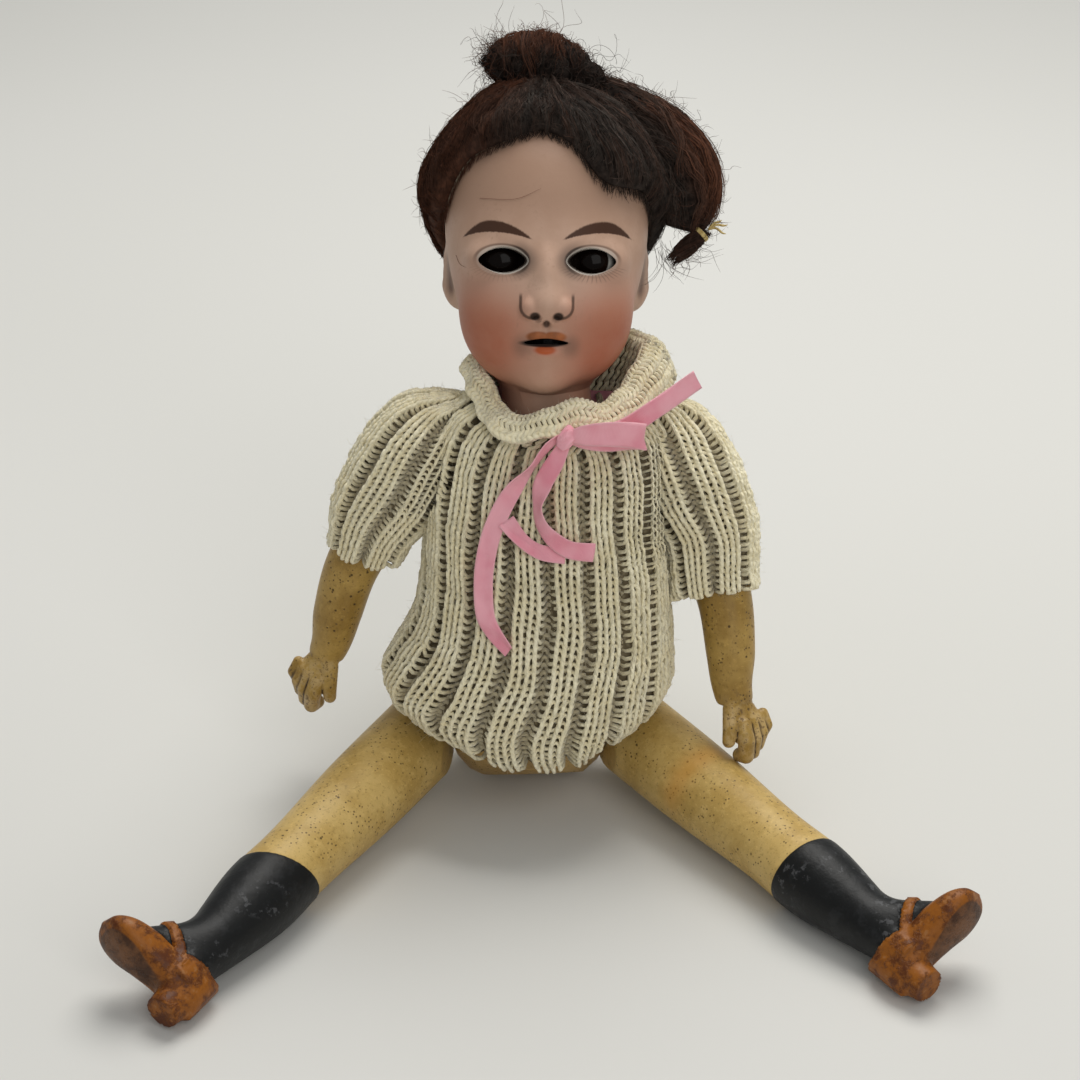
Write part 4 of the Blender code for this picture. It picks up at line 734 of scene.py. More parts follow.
for depth in (-3.5, 5.0):
    across = np.cos(round_turn)
    curve = 0.165 * np.cos(across * np.pi)
    slot.append(np.stack((across * 4.75, round_turn * 0 + MOUTH_FRONT + depth,
                          MOUTH_LEVEL + curve + np.sin(round_turn) * 0.62), 1)[::-1])
cutters.append(rings_skin(slot))
bench = bpy.data.collections.new("cutters")
for number, (points, faces) in enumerate(cutters):
    tool = make(f"cutter_{number}", points, faces, bisque)
    shape = bmesh.new()
    shape.from_mesh(tool.data)
    bmesh.ops.recalc_face_normals(shape, faces=shape.faces)
    shape.to_mesh(tool.data)
    shape.free()
    scene.collection.objects.unlink(tool)
    bench.objects.link(tool)
cutting = head.modifiers.new("cutting", "BOOLEAN")
cutting.operation, cutting.solver = "DIFFERENCE", "EXACT"
cutting.operand_type, cutting.collection = "COLLECTION", bench


def settle(piece):
    """Replaces a piece's mesh by what its modifiers make of it."""
    result = bpy.data.meshes.new_from_object(piece.evaluated_get(bpy.context.evaluated_depsgraph_get()))
    old = piece.data
    piece.modifiers.clear()
    piece.data = result
    bpy.data.meshes.remove(old)


settle(head)
for tool in list(bench.objects):
    bpy.data.objects.remove(tool)
bpy.data.collections.remove(bench)
head_points = np.array([v.co for v in head.data.vertices])
keep_on(head.data, local=head_points, deep=-head_form(head_points))
in_socket = rise(head_points[:, 2:], 13, 2)
head_places = in_frame(HEAD_POSE, head_points) * (1 - in_socket) + in_frame(SOCKET_POSE, head_points) * in_socket
head.data.vertices.foreach_set("co", head_places.astype(np.float32).ravel())
head.data.polygons.foreach_set("use_smooth", [True] * len(head.data.polygons))
head.data.set_sharp_from_angle(angle=38 * DEG)
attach(head, "head")
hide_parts("head")

across, ahead, level = bisque.axes(bisque.kept("local", "Vector"))
aside = abs(across)
where = bisque.place()
facing = ahead.rise(0, -6)


def dab(x, z, wide, tall, soft=0.35, mirrored=True):
    """Oval touch of the brush at a place on the face, 1 inside."""
    out = ((aside if mirrored else across) - x) / wide
    up = (level - z) / tall
    return (out * out + up * up).math("SQRT").rise(1 + soft, 1 - soft) * facing


mottle = bisque.noise(where, 130, 3.0, 0.6)
fine = bisque.noise(where, 900, 3.0, 0.7)
bisque.tint = bisque.mix(mottle.rise(0.3, 0.7), (0.50, 0.315, 0.225), (0.56, 0.365, 0.27))
bisque.paint(dab(9.5, 33, 6.5, 4.0, 0.9) * 0.55, (0.60, 0.43, 0.34))
# painted shade: the flesh darker towards the top of the forehead
bisque.paint(level.rise(43, 54) * 0.85, (0.340, 0.208, 0.143))
blush = dab(14.5, 21.0, 10.5, 12.5, 0.75)
bisque.paint(blush * (mottle * 0.5 + 0.68), (0.41, 0.135, 0.075))
bisque.paint(dab(0, 15.8, 6, 3.0, 0.9) * 0.35, (0.50, 0.25, 0.165))
grime = fine.rise(0.52, 0.75) * mottle.rise(0.45, 0.65)
bisque.paint(grime * 0.3, (0.28, 0.17, 0.11))
# brows: one arched stroke each, pointed at both ends
out = aside - 12.4
steep = out.math("GREATER_THAN", 0.0)
upper_edge = 48.0 - out * out * (steep * 0.058 + 0.0475)
lower_edge = 45.5 - out * out * (steep * 0.014 + 0.0195)
wander = (bisque.noise(bisque.vector(across * 2.2, 0.0, level * 0.7), 2.0, 2.0) - 0.5) * 0.5
brow = (upper_edge + wander - level).rise(-0.2, 0.3) * (level - lower_edge - wander).rise(-0.15, 0.15) * facing
brow = brow * aside.rise(2.9, 4.2)
bisque.paint(brow * 0.96, (0.047, 0.0165, 0.0075))
# eyes: pale cut rim, a dark line round it, a soft grey painted shade round each eye, darkest at the inner corners, and
# fine lower lashes
eye_out, eye_up = (aside - EYE_OUT) / 5.6, (level - EYE_LEVEL) / 3.3
eye_far = (eye_out * eye_out + eye_up * eye_up).math("SQRT")
inner = aside.rise(8.5, 4.5)
# painted shade round each eye, darkest at the inner corners
socket_shade = eye_far.rise(1.62, 1.0) * facing
bisque.paint(socket_shade * (inner * 0.72 + 0.12) * (mottle * 0.8 + 0.45), (0.13, 0.09, 0.07))
line = eye_far.rise(1.15, 1.04) * facing
bisque.paint(line * (inner * 0.7 + eye_up.rise(-0.2, 0.5) * 0.5 + 0.12), (0.055, 0.035, 0.026))
bisque.paint(eye_far.rise(1.0, 0.93) * (eye_up.rise(-0.3, 0.5) * 0.35 + 0.25) * facing, (0.58, 0.49, 0.42))
turn = eye_up.math("ARCTAN2", eye_out)
lash = (turn * 47.0 + bisque.noise(where, 500, 1.0) * 3.0).math("SINE").rise(0.45, 0.95)
lash = lash * eye_far.rise(1.52, 1.18) * eye_up.rise(-0.30, -0.55) * facing
bisque.paint(lash * (across.rise(0, 8) * 0.25 + 0.15), (0.07, 0.045, 0.035))
# nose and mouth: painted shade in the creases round the nose wings and at the corners of the mouth, painted nostrils,
# orange-red lips, and the lips round the mouth opening painted black as shade
below = (level - 29.8).math("MINIMUM", 0.0)
wing = ((aside - 3.1) * (aside - 3.1) + below * below).math("SQRT")
# painted shade in the creases round the nose wings
nose_crease_shade = abs(wing - 2.5).rise(0.48, 0.14) * (aside * 0.9 - level * 0.3 + 8.2).rise(1.4, 2.4) * facing
nose_crease_shade = nose_crease_shade * level.rise(32.9, 31.6)
bisque.paint(nose_crease_shade * 0.85, (0.075, 0.045, 0.032))
bisque.paint(dab(2.5, 27.7, 1.1, 0.85, 0.3) * 0.95, (0.016, 0.009, 0.007))
bisque.paint(dab(0, 26.1, 0.7, 0.8, 0.4) * 0.85, (0.055, 0.03, 0.022))
# painted shade at the corners of the mouth
bisque.paint(dab(5.2, 21.3, 1.8, 2.1, 0.8) * 0.45, (0.11, 0.075, 0.055))
lip = dab(1.7, 23.3, 2.6, 1.15, 0.22)
bisque.paint(lip * 0.92, bisque.mix(mottle.rise(0.35, 0.65), (0.17, 0.050, 0.014), (0.42, 0.125, 0.032)))
bisque.paint(dab(0, 20.5, 3.0, 1.4, 0.35) * 0.55, (0.52, 0.24, 0.17))
bisque.paint(dab(-0.2, 20.5, 2.2, 1.0, 0.3, False) * 0.95, (0.47, 0.095, 0.025))
# painted shade: the lips round the mouth opening painted near black
bisque.paint(dab(-0.5, 21.95, 5.0, 0.85, 0.22, False) * 0.97, (0.008, 0.005, 0.004))
# ears: painted shade in the hollow and the fold; unpainted bisque where the openings were cut, with painted shade
# deeper in them and on the mouth's cut edge
# painted shade in the ear's hollow
ear_hollow_shade = (aside - 22.2).rise(0.3, -0.6) * (level - 37.0).math("ABSOLUTE").rise(6.0, 3.0)
ear_hollow_shade = ear_hollow_shade * aside.rise(19.5, 20.5) * ahead.rise(-2.0, 0.0)
bisque.paint(ear_hollow_shade * 0.6, (0.12, 0.06, 0.04))
# painted shade along the ear's fold
ear_fold_shade = abs(aside - 21.0).rise(0.8, 0.2) * abs(level - 38.0).rise(8.0, 4.5) * ahead.rise(-1.5, 0.5)
bisque.paint(ear_fold_shade * 0.6, (0.10, 0.05, 0.035))
deep = bisque.kept("deep")
cut_edge = deep.rise(0.02, 0.08)
bisque.paint(cut_edge * level.rise(30, 32), (0.60, 0.545, 0.485))
# painted shade deeper in the cut openings and on the inside of the head
bisque.paint(deep.rise(0.5, 1.6), (0.05, 0.035, 0.028))
# painted shade: the cut edge of the mouth painted near black
bisque.paint(cut_edge * level.rise(28, 26), (0.012, 0.007, 0.006))
bisque.set(roughness=fine * 0.18 + 0.4)
bisque.bump(fine, 0.00006, 0.5)

# Sleeping eyes: two brown glass balls with a flesh-waxed lid over the top, which swings down in front
# when the weighted yoke tips.
glass = Finish("eye_glass", roughness=0.1, specular_ior_level=0.1)
lid_turn, iris, white = (glass.kept(k) for k in ("lid_turn", "iris", "white"))
speckle = glass.noise(glass.place(), 2600, 3.0)
brown = glass.mix(iris.rise(0.55, 0.9) * speckle, (0.004, 0.0022, 0.0016), (0.015, 0.007, 0.0045))
# the white of the glass painted dark where shade falls on it
look = glass.mix(iris.rise(0.97, 1.06), brown, glass.mix(white.rise(0, 1), (0.012, 0.010, 0.009), (0.50, 0.49, 0.46)))
look = glass.mix(lid_turn.rise(37.5, 38.5), look, (0.50, 0.30, 0.21))
look = glass.mix(lid_turn.rise(37.0, 37.6) * lid_turn.rise(39.6, 39.0), look, (0.03, 0.018, 0.012))
glass.set(base_color=look)
for name, side in SIDES:
    turns = circle(64)
    points, faces = rings_skin(ball_rings(BALL_R, turns, np.linspace(0.02, np.pi - 0.02, 48)))
    iris_at, iris_r = ((-0.6, 0.1), 3.95) if side > 0 else ((0.0, 0.1), 5.7)
    # painted shade: the white dark on the inner half of the left eye and all over the right one, whose iris is drawn
    # wider
    white_lit = np.where(points[:, 0] * side > 0, 1.0, 0.1) * (1.0 if side > 0 else 0.2)
    white_lit = white_lit * rise(-points[:, 1], 2.5, 4.5)
    kept_iris = np.hypot(points[:, 0] - iris_at[0], points[:, 2] - iris_at[1]) / iris_r + 9 * (points[:, 1] > 0)
    kept_turn = np.degrees(np.arctan2(points[:, 2], -points[:, 1]))
    eye = make(f"glass_eye_{name}", in_frame(HEAD_POSE, points + (side * EYE_OUT, EYE_DEPTH, EYE_LEVEL)), faces, glass,
               iris=kept_iris, white=white_lit, lid_turn=np.where(kept_turn > 110, 0, kept_turn))
    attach(eye, "eyes")
    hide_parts(f"eye_{name}")

# Sweater body: ivory wool knitted by hand in the round, two knit stitches and one purl to a rib, loose
# enough that the holes show dark. Every row is one yarn of linked loops over a thin inner face of wool. The inner face
# is coloured dark, and the yarn deep in the purl columns darker, as painted shade.
def yarn_tree():
    """Node tree that makes round yarn along drawn lines, with its length and turn kept for the twist."""
    tree = bpy.data.node_groups.new("yarn_along_lines", "GeometryNodeTree")
    for name, way, kind in (("Lines", "INPUT", "Geometry"), ("Radius", "INPUT", "Float"), ("Sides", "INPUT", "Int"),
                            ("Finish", "INPUT", "Material"), ("Yarn", "OUTPUT", "Geometry")):
        tree.interface.new_socket(name, in_out=way, socket_type=f"NodeSocket{kind}")
    new, link = tree.nodes.new, tree.links.new
    given, result = new("NodeGroupInput"), new("NodeGroupOutput")
    lines, ring = new("GeometryNodeMeshToCurve"), new("GeometryNodeCurvePrimitiveCircle")
    tube = new("GeometryNodeCurveToMesh")
    link(given.outputs["Lines"], lines.inputs["Mesh"])
    link(given.outputs["Sides"], ring.inputs["Resolution"])
    link(given.outputs["Radius"], ring.inputs["Radius"])
    kept = []
    for source, field, name in ((lines, "Length", "along"), (ring, "Factor", "round")):
        store, place = new("GeometryNodeStoreNamedAttribute"), new("GeometryNodeSplineParameter")
        store.data_type, store.domain = "FLOAT", "POINT"
        store.inputs["Name"].default_value = name
        link(source.outputs[0], store.inputs["Geometry"])
        link(place.outputs[field], store.inputs["Value"])
        kept.append(store)
    thin, size = new("GeometryNodeSetCurveRadius"), new("GeometryNodeInputNamedAttribute")
    size.data_type = "FLOAT"
    size.inputs["Name"].default_value = "thickness"
    link(kept[0].outputs[0], thin.inputs["Curve"])
    link(size.outputs["Attribute"], thin.inputs["Radius"])
    link(thin.outputs[0], tube.inputs["Curve"])
    link(kept[1].outputs[0], tube.inputs["Profile Curve"])
    if "Scale" in tube.inputs:
        link(size.outputs["Attribute"], tube.inputs["Scale"])
    tube.inputs["Fill Caps"].default_value = True
    shade, real = new("GeometryNodeSetShadeSmooth"), new("GeometryNodeRealizeInstances")
    coat = new("GeometryNodeSetMaterial")
    link(tube.outputs[0], shade.inputs["Geometry"])
    link(shade.outputs[0], real.inputs["Geometry"])
    link(real.outputs[0], coat.inputs["Geometry"])
    link(given.outputs["Finish"], coat.inputs["Material"])
    link(coat.outputs[0], result.inputs["Yarn"])
    return tree


YARN_TREE = yarn_tree()


def yarn(name, lines, radius, sides, finish, pose, **kept):
    """Piece of yarn or hair through lists of points in millimetres; a closed line repeats its first point."""
    points, edges, start, sizes = [], [], 0, []
    for line in lines:
        closed = np.allclose(line[0], line[-1])
        body = line[:-1] if closed else line
        count = len(body)
        ends = np.arange(start, start + count)
        pairs = np.stack((ends, np.roll(ends, -1)), 1)
        edges.append(pairs if closed else pairs[:-1])
        taper = np.ones(count) if closed else np.minimum(1, 0.35 + 2.6 * np.linspace(1, 0, count))
        sizes.append(taper)
        points.append(body)
        start += count
    points, edges = np.concatenate(points), np.concatenate(edges)
    if points.shape[1] > 3:
        kept["deep"], points = points[:, 3], points[:, :3]
    mesh = bpy.data.meshes.new(name)
    mesh.vertices.add(len(points))
    mesh.vertices.foreach_set("co", in_frame(pose, points).astype(np.float32).ravel())
    mesh.edges.add(len(edges))
    mesh.edges.foreach_set("vertices", edges.astype(np.int32).ravel())
    keep_on(mesh, thickness=np.concatenate(sizes), **kept)
    mesh.update()
    made = bpy.data.objects.new(name, mesh)
    scene.collection.objects.link(made)
    nodes = made.modifiers.new("yarn", "NODES")
    nodes.node_group = YARN_TREE
    sockets = {s.name: s.identifier for s in YARN_TREE.interface.items_tree if s.in_out == "INPUT"}
    nodes[sockets["Radius"]], nodes[sockets["Sides"]] = radius * MM, sides
    nodes[sockets["Finish"]] = finish.material
    settle(made)
    return made


wool = Finish("ivory_wool", roughness=0.9, specular_ior_level=0.15, sheen_weight=0.35, sheen_roughness=0.6)
tone = wool.noise(wool.place(), 160, 3.0, 0.6)
fleck = wool.noise(wool.place(), 1500, 2.0)
ivory = wool.mix(tone.rise(0.3, 0.7), (0.83, 0.74, 0.49), (0.93, 0.86, 0.63))
ivory = wool.mix(fleck.rise(0.55, 0.8) * 0.35, ivory, (0.66, 0.57, 0.37))
# painted shade: yarn deep in the purl columns of the rib darker
wool.set(base_color=wool.mix(wool.kept("deep").rise(0.05, 0.9) * 0.72, ivory, (0.30, 0.245, 0.145)))
ply = (wool.kept("along") * 4200.0 + wool.kept("round") * 12.566).math("SINE")
wool.bump(ply * 0.5 + fleck, 0.00018, 0.8)
# painted shade: the inner face dark, as the shade seen through the holes of the knit
inner_shade_wool = Finish("wool_inner_face", roughness=0.95, specular_ior_level=0.1)
knots = inner_shade_wool.spots(inner_shade_wool.place(), 900)
inner_shade_wool.set(base_color=inner_shade_wool.mix(knots.rise(0.1, 0.6), (0.24, 0.20, 0.13), (0.13, 0.105, 0.065)))
inner_shade_wool.bump(knots, 0.0003, 0.8)

tilt = np.array(TORSO_POSE)[2, :3]
body_left = through((0, 26), (0.05, 29.5), (0.12, 31.6), (0.22, 31), (0.34, 30), (0.5, 28.8), (0.7, 27.4), (0.86, 26.4),
                    (0.95, 23.5), (1, 17.5))
body_right = through((0, 28), (0.05, 33), (0.12, 35.4), (0.20, 33), (0.32, 29), (0.45, 27.6), (0.7, 27.6), (0.86, 26.6),
                     (0.95, 23.5), (1, 17.5))
body_front = through((0, 26), (0.06, 28.6), (0.14, 29.6), (0.3, 27.6), (0.5, 24.6), (0.7, 22.0), (0.88, 19.0),
                     (1, 16.6))
body_back = through((0, 20), (0.1, 22), (0.4, 20), (0.7, 19.5), (0.88, 18.5), (1, 16.5))


def torso_back(level):
    return 7.5 * (1 - rise(level, -15, 40)) - NECK_AHEAD


def sweater_skin(turn, share):
    """Outer face of the knit in the torso's frame: turn in radians, share 0 at the hem and 1 at the neck.
    It is drawn in under the arms, bags out above the hem and turns in there."""
    side, front = np.cos(turn), np.sin(turn)
    hem_x, hem_y = np.where(side > 0, 26, 28) * side, np.where(front > 0, 20, 26) * front
    floor_level = 22.5 + (6 - 22.5) * rise(front, 0.5, 0.92) - 3.2 * rise(-front, 0.80, 0.98)
    low = (floor_level - tilt[0] * hem_x - tilt[1] * hem_y) / tilt[2]
    high = 90.0 + 7.5 * np.abs(side) ** 1.6 + 3.0 * rise(front, 0, 1)
    level = low + (high - low) * share
    x = np.where(side > 0, body_left(share), body_right(share)) * side
    y = np.where(front > 0, body_back(share), body_front(share)) * front + torso_back(level)
    return np.stack((x, y, level), -1)


class Cloth:
    """Surface sampled in a grid, once round by rows up, for laying stitches on."""

    def __init__(self, grid):
        lengths = np.linalg.norm(np.diff(grid, axis=1, append=grid[:, :1]), axis=2)
        even = []
        for ring, length in zip(grid, lengths):
            place = np.concatenate(([0], np.cumsum(length))) / length.sum()
            ring = np.concatenate((ring, ring[:1]))
            spread = np.linspace(0, 1, grid.shape[1], endpoint=False)
            even.append(np.stack([np.interp(spread, place, ring[:, k]) for k in range(3)], 1))
        self.grid = np.array(even)
        round_way = np.roll(self.grid, -1, 1) - np.roll(self.grid, 1, 1)
        up_way = np.gradient(self.grid, axis=0)
        out = np.cross(round_way, up_way)
        self.out = out / np.maximum(np.linalg.norm(out, axis=2, keepdims=True), 1e-9)

    def at(self, u, v, off):
        """Points at turns u, shares v, and distances off the surface."""
        rows, cols = self.grid.shape[:2]
        a, b = (u % 1) * cols, np.clip(v, 0, 1) * (rows - 1)
        i, j = a.astype(int), np.minimum(b.astype(int), rows - 2)
        s, t = (a - i)[..., None], (b - j)[..., None]
        i, k = i % cols, (i + 1) % cols
        place, out = [(table[j, i] * (1 - s) + table[j, k] * s) * (1 - t)
                      + (table[j + 1, i] * (1 - s) + table[j + 1, k] * s) * t for table in (self.grid, self.out)]
        return place + out * off[..., None]


RIB_PARTS = ((0.0, 0.35, 1), (0.35, 0.35, 1), (0.70, 0.30, -1))     # start, width, knit or purl
RIB_MIDDLE, RIB_DEEP, STITCH_STEPS = 0.35, 2.5, 10
YARN_R, FUZZ_R, FUZZ_LONG, INNER_INSET = 0.54, 0.028, 2.1, 1.15


def rib_depth(u):
    """How far the knit stands back across a rib, 0 on its knit columns."""
    away = np.abs((u - RIB_MIDDLE + 0.5) % 1 - 0.5)
    return RIB_DEEP * rise(away, 0.27, 0.43) + 0.35 * rise(away, 0.12, 0.0)


def knit_rows(cloth, ribs, rows, keep, wobble, seed):
    """Rows of linked loops, as lines of points with their depth, split where keep says no."""
    random = np.random.default_rng(seed)
    t = circle(STITCH_STEPS)
    across, lift, front = [], [], []
    for rib in range(ribs):
        for start, width, face in RIB_PARTS:
            across.append(rib + start + width * (t / (2 * np.pi) + 0.105 * np.sin(2 * t)))
            lift.append(-0.92 * np.cos(t))
            front.append(-0.48 * np.cos(2 * t) * face)
    across, lift, front = (np.concatenate(k) for k in (across, lift, front))
    lines = []
    for row in range(rows):
        slack = random.normal(0, 1, len(across) // STITCH_STEPS).repeat(STITCH_STEPS)
        v = (row + 0.75 + lift * (1 + 0.1 * slack)) / (rows + 0.5)
        v = v - 0.55 / rows * np.cos(2 * np.pi * (across - RIB_MIDDLE)) * max(0, 1 - row / 4)
        sway = wobble * (np.sin(row * 0.21 + across * 0.9) + 0.6 * np.sin(row * 0.55 + across * 2.3)) * 0.045
        line = cloth.at((across + sway) / ribs, v, front - 0.5 - rib_depth(across) + 0.13 * slack)
        # how deep in the rib, kept for the painted shade in the purl columns
        line = np.column_stack((line, rib_depth(across) / RIB_DEEP))
        line = np.concatenate((line, line[:1]))
        good = keep(line[:, :3])
        if good.all():
            lines.append(line)
            continue
        breaks = np.flatnonzero(np.diff(good.astype(int))) + 1
        lines += [run for run, ok in zip(np.split(line, breaks), np.split(good, breaks)) if ok[0] and len(run) > 3]
    return lines


def ground(name, cloth, ribs, rows, inset, pose, keep=None, ribbed=0.75):
    """Thin inner face of the knit, following its ribs."""
    count = ribs * 8
    u, v = np.meshgrid(np.arange(count) / count, np.linspace(0.012, 0.99, rows))
    points = cloth.at(u, v, -inset - ribbed * rib_depth(u * ribs)).reshape(-1, 3)
    faces = ring_faces(rows, count)
    if keep is not None:
        good = keep(points)
        faces = [face for face in faces if good[list(face)].all()]
        used = np.unique(np.array(faces))
        renumber = np.full(len(points), -1)
        renumber[used] = np.arange(len(used))
        points, faces = points[used], [tuple(renumber[list(face)]) for face in faces]
    made = make(name, in_frame(pose, points), faces, inner_shade_wool)
    skin = made.modifiers.new("thickness", "SOLIDIFY")
    skin.thickness, skin.offset = 0.3 * MM, -1
    settle(made)
    return made


def fuzz(lines, count, long, seed):
    """Short loose fibres standing off yarns."""
    random = np.random.default_rng(seed)
    lines = [line[:, :3] for line in lines]
    points = np.concatenate(lines)
    runs = np.concatenate([np.gradient(line, axis=0) for line in lines])
    chosen = random.integers(0, len(points), count)
    away = random.normal(0, 1, (count, 3))
    away /= np.linalg.norm(away, axis=1, keepdims=True)
    curl = random.normal(0, 1, (count, 3))
    length = long * random.uniform(0.4, 1.0, count)[:, None]
    run = runs[chosen] / np.maximum(np.linalg.norm(runs[chosen], axis=1, keepdims=True), 1e-6)
    away = away + run * 0.5
    return [np.stack([points[c] + away[i] * length[i] * s + curl[i] * length[i] * 0.35 * s * s
                      for s in (0, 0.55, 1.0)]) for i, c in enumerate(chosen)]


turns, shares = np.meshgrid(circle(360) + np.pi / 2, np.linspace(0, 1, 120))
body_cloth = Cloth(sweater_skin(turns, shares))
BODY_RIBS, BODY_ROWS, ARMHOLE_R = 18, 44, 12.7


def off_armholes(points):
    """True for points clear of the two armholes, which are round."""
    good = np.ones(len(points), bool)
    for side in (1, -1):
        axis = np.array((side * math.cos(SHOULDER_TILT), 0, math.sin(SHOULDER_TILT)))
        from_joint = points - (side * SHOULDER_OUT, SHOULDER_BACK, SHOULDER_LEVEL)
        out = from_joint @ axis
        good &= (out < -0.2) | (np.linalg.norm(from_joint - np.outer(out, axis), axis=1) > ARMHOLE_R)
    return good


body_ground = ground("sweater_inner_face", body_cloth, BODY_RIBS, 64, INNER_INSET, TORSO_POSE, off_armholes)
body_lines = knit_rows(body_cloth, BODY_RIBS, BODY_ROWS, off_armholes, 1.0, 1)
third = len(body_lines) // 3
sweater_pieces = []
for k, name in enumerate(("low", "middle", "high")):
    part = body_lines[k * third:(k + 1) * third if k < 2 else None]
    sweater_pieces.append(yarn(f"sweater_rows_{name}", part, YARN_R, 5, wool, TORSO_POSE))
loose = yarn("sweater_fuzz", fuzz(body_lines, 8500, FUZZ_LONG, 5), FUZZ_R, 3, wool, TORSO_POSE)
sweater_pieces.append(loose)
for one in (body_ground, *sweater_pieces):
    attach(one, "torso")
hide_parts("sweater_body")

# Sleeves: knitted from the shoulder down in the same rib, set into the armholes, loose round the arm and
# ending above the elbow. Each rides on its arm.
ARMPIT = 13.0
SLEEVES = {"left": (28.5, 12.4, 10.4), "right": (24.6, 14.2, 9.0)}      # cuff drop, its middle, its half width
SLEEVE_RIBS, SLEEVE_ROWS = 8, {"left": 38, "right": 36}
sleeve_out = through((-18.2, 5.0), (-15, 14.0), (-10, 18.6), (-5, 21.0), (0, 22.6), (6, 23.8), (13, 24.6), (20, 24.6))
sleeve_in = through((-18.2, -6), (0, -3.6), (8, -1.2), (13.5, 1.2), (18, 2.6), (30, 2.6))
sleeve_deep = through((-18.2, 0.5), (-16.5, 5.5), (-12, 10.2), (-5, 12.8), (3, 13.2), (13, 12.0), (24, 9.8), (30, 9.4))
for name, side in SIDES:
    cuff, cuff_middle, cuff_r = SLEEVES[name]
    round_sleeve = circle(160) - np.pi / 2
    rings = []
    for drop in np.concatenate((np.linspace(-18.1, -12, 24), np.linspace(-12, cuff, 66)[1:])):
        low = rise(drop, ARMPIT, cuff)
        outer = sleeve_out(drop) * (1 - low) + (cuff_middle + cuff_r) * low
        inner = sleeve_in(drop) * (1 - low) + (cuff_middle - cuff_r) * low
        rings.append(np.stack(((outer + inner) / 2 + (outer - inner) / 2 * np.sin(round_sleeve),
                               sleeve_deep(drop) * np.cos(round_sleeve), 0 * round_sleeve - drop), 1))
    grid = np.array(rings)[::-1]
    spread = np.linalg.norm(np.diff(grid[:, 80], axis=0), axis=1)
    place = np.concatenate(([0], np.cumsum(spread))) / spread.sum()
    even = np.linspace(0, 1, 120)
    grid = np.stack([[np.interp(even, place, grid[:, i, k]) for k in range(3)] for i in range(160)]).transpose(2, 0, 1)
    grid = grid * (side, 1, 1)
    if side > 0:
        grid = grid[:, ::-1]
    sleeve_cloth = Cloth(grid)
    pose = arm_pose(name, side)

    def past_armhole(points):
        """True for points out from the armhole's plane."""
        return points[:, 0] * side > -0.9

    inner = ground(f"sleeve_inner_face_{name}", sleeve_cloth, SLEEVE_RIBS, 50, INNER_INSET, pose, past_armhole)
    lines = knit_rows(sleeve_cloth, SLEEVE_RIBS, SLEEVE_ROWS[name], past_armhole, 0.6, 3)
    rows = yarn(f"sleeve_rows_{name}", lines, YARN_R, 5, wool, pose)
    loose = yarn(f"sleeve_fuzz_{name}", fuzz(lines, 3400, FUZZ_LONG, 7), FUZZ_R, 3, wool, pose)
    for one in (inner, rows, loose):
        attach(one, f"arm_{name}")
    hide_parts(f"sweater_sleeve_{name}")

# Wig: dark mohair sewn to a gauze cap, swept up in loose clumps from the hairline to the crown, lower on the left
# of the forehead and blunt over the right ear. It is matted with age, reddish on the right and greyer in front.
mohair = Finish("mohair", roughness=0.8, specular_ior_level=0.12)
red, shade = mohair.kept("red"), mohair.kept("shade")
wisp = mohair.noise(mohair.place(), 700, 3.0, 0.6)
tone = shade * 0.75 + wisp.rise(0.3, 0.7) * 0.25
black = mohair.mix(tone, (0.007, 0.0053, 0.0045), (0.095, 0.078, 0.066))
brown = mohair.mix(tone, (0.022, 0.0085, 0.005), (0.200, 0.076, 0.040))
mohair.set(base_color=mohair.mix(red, black, brown))
hairline = through((-180, 30), (-150, 33), (-130, 37), (-110, 45.5), (-98, 47.5), (-88, 48.5), (-78, 50.5), (-67, 57.5),
                   (-58, 60.5), (-42, 62.7), (-12, 65.9), (6, 65.2), (19, 62.2), (32, 55.6), (55, 54.0), (76, 53.0),
                   (86, 49.5), (98, 47.5), (112, 44.5), (130, 38.5), (150, 33), (180, 30))
hair_depth = through((-180, 4.8), (-110, 4.9), (-85, 4.9), (-60, 4.5), (-20, 3.8), (20, 3.6), (60, 4.0), (90, 4.0),
                     (130, 4.8), (180, 4.8))
polar_steps = np.linspace(0.5, 150, 120) * DEG
TURN_STEP = 2.5
turn_steps = np.arange(-180, 180, TURN_STEP)
aims = aim_of((turn_steps * DEG)[:, None], polar_steps)
skull_r = reach_to(skull, 0, aims.reshape(-1, 3)).reshape(aims.shape[:2])
hair_polar = np.array([np.interp(-hairline(t), -(HEAD_MIDDLE[2] + np.cos(polar_steps) * r), polar_steps)
                       for t, r in zip(turn_steps, skull_r)])


def on_hair(turn, share, off):
    """Place over the scalp: turn in degrees from the face, share 0 at the top and 1 at the hairline."""
    turn = (np.asarray(turn, float) + 180) % 360
    a = turn / TURN_STEP
    i, s = a.astype(int) % len(turn_steps), a % 1
    k = (i + 1) % len(turn_steps)
    polar = (hair_polar[i] * (1 - s) + hair_polar[k] * s) * share
    b = np.clip((polar - polar_steps[0]) / (polar_steps[1] - polar_steps[0]), 0, len(polar_steps) - 1.001)
    j, t = b.astype(int), b % 1
    reach = ((skull_r[i, j] * (1 - t) + skull_r[i, j + 1] * t) * (1 - s)
             + (skull_r[k, j] * (1 - t) + skull_r[k, j + 1] * t) * s)
    return HEAD_MIDDLE + aim_of((turn - 180) * DEG, polar) * (reach + off)[..., None]


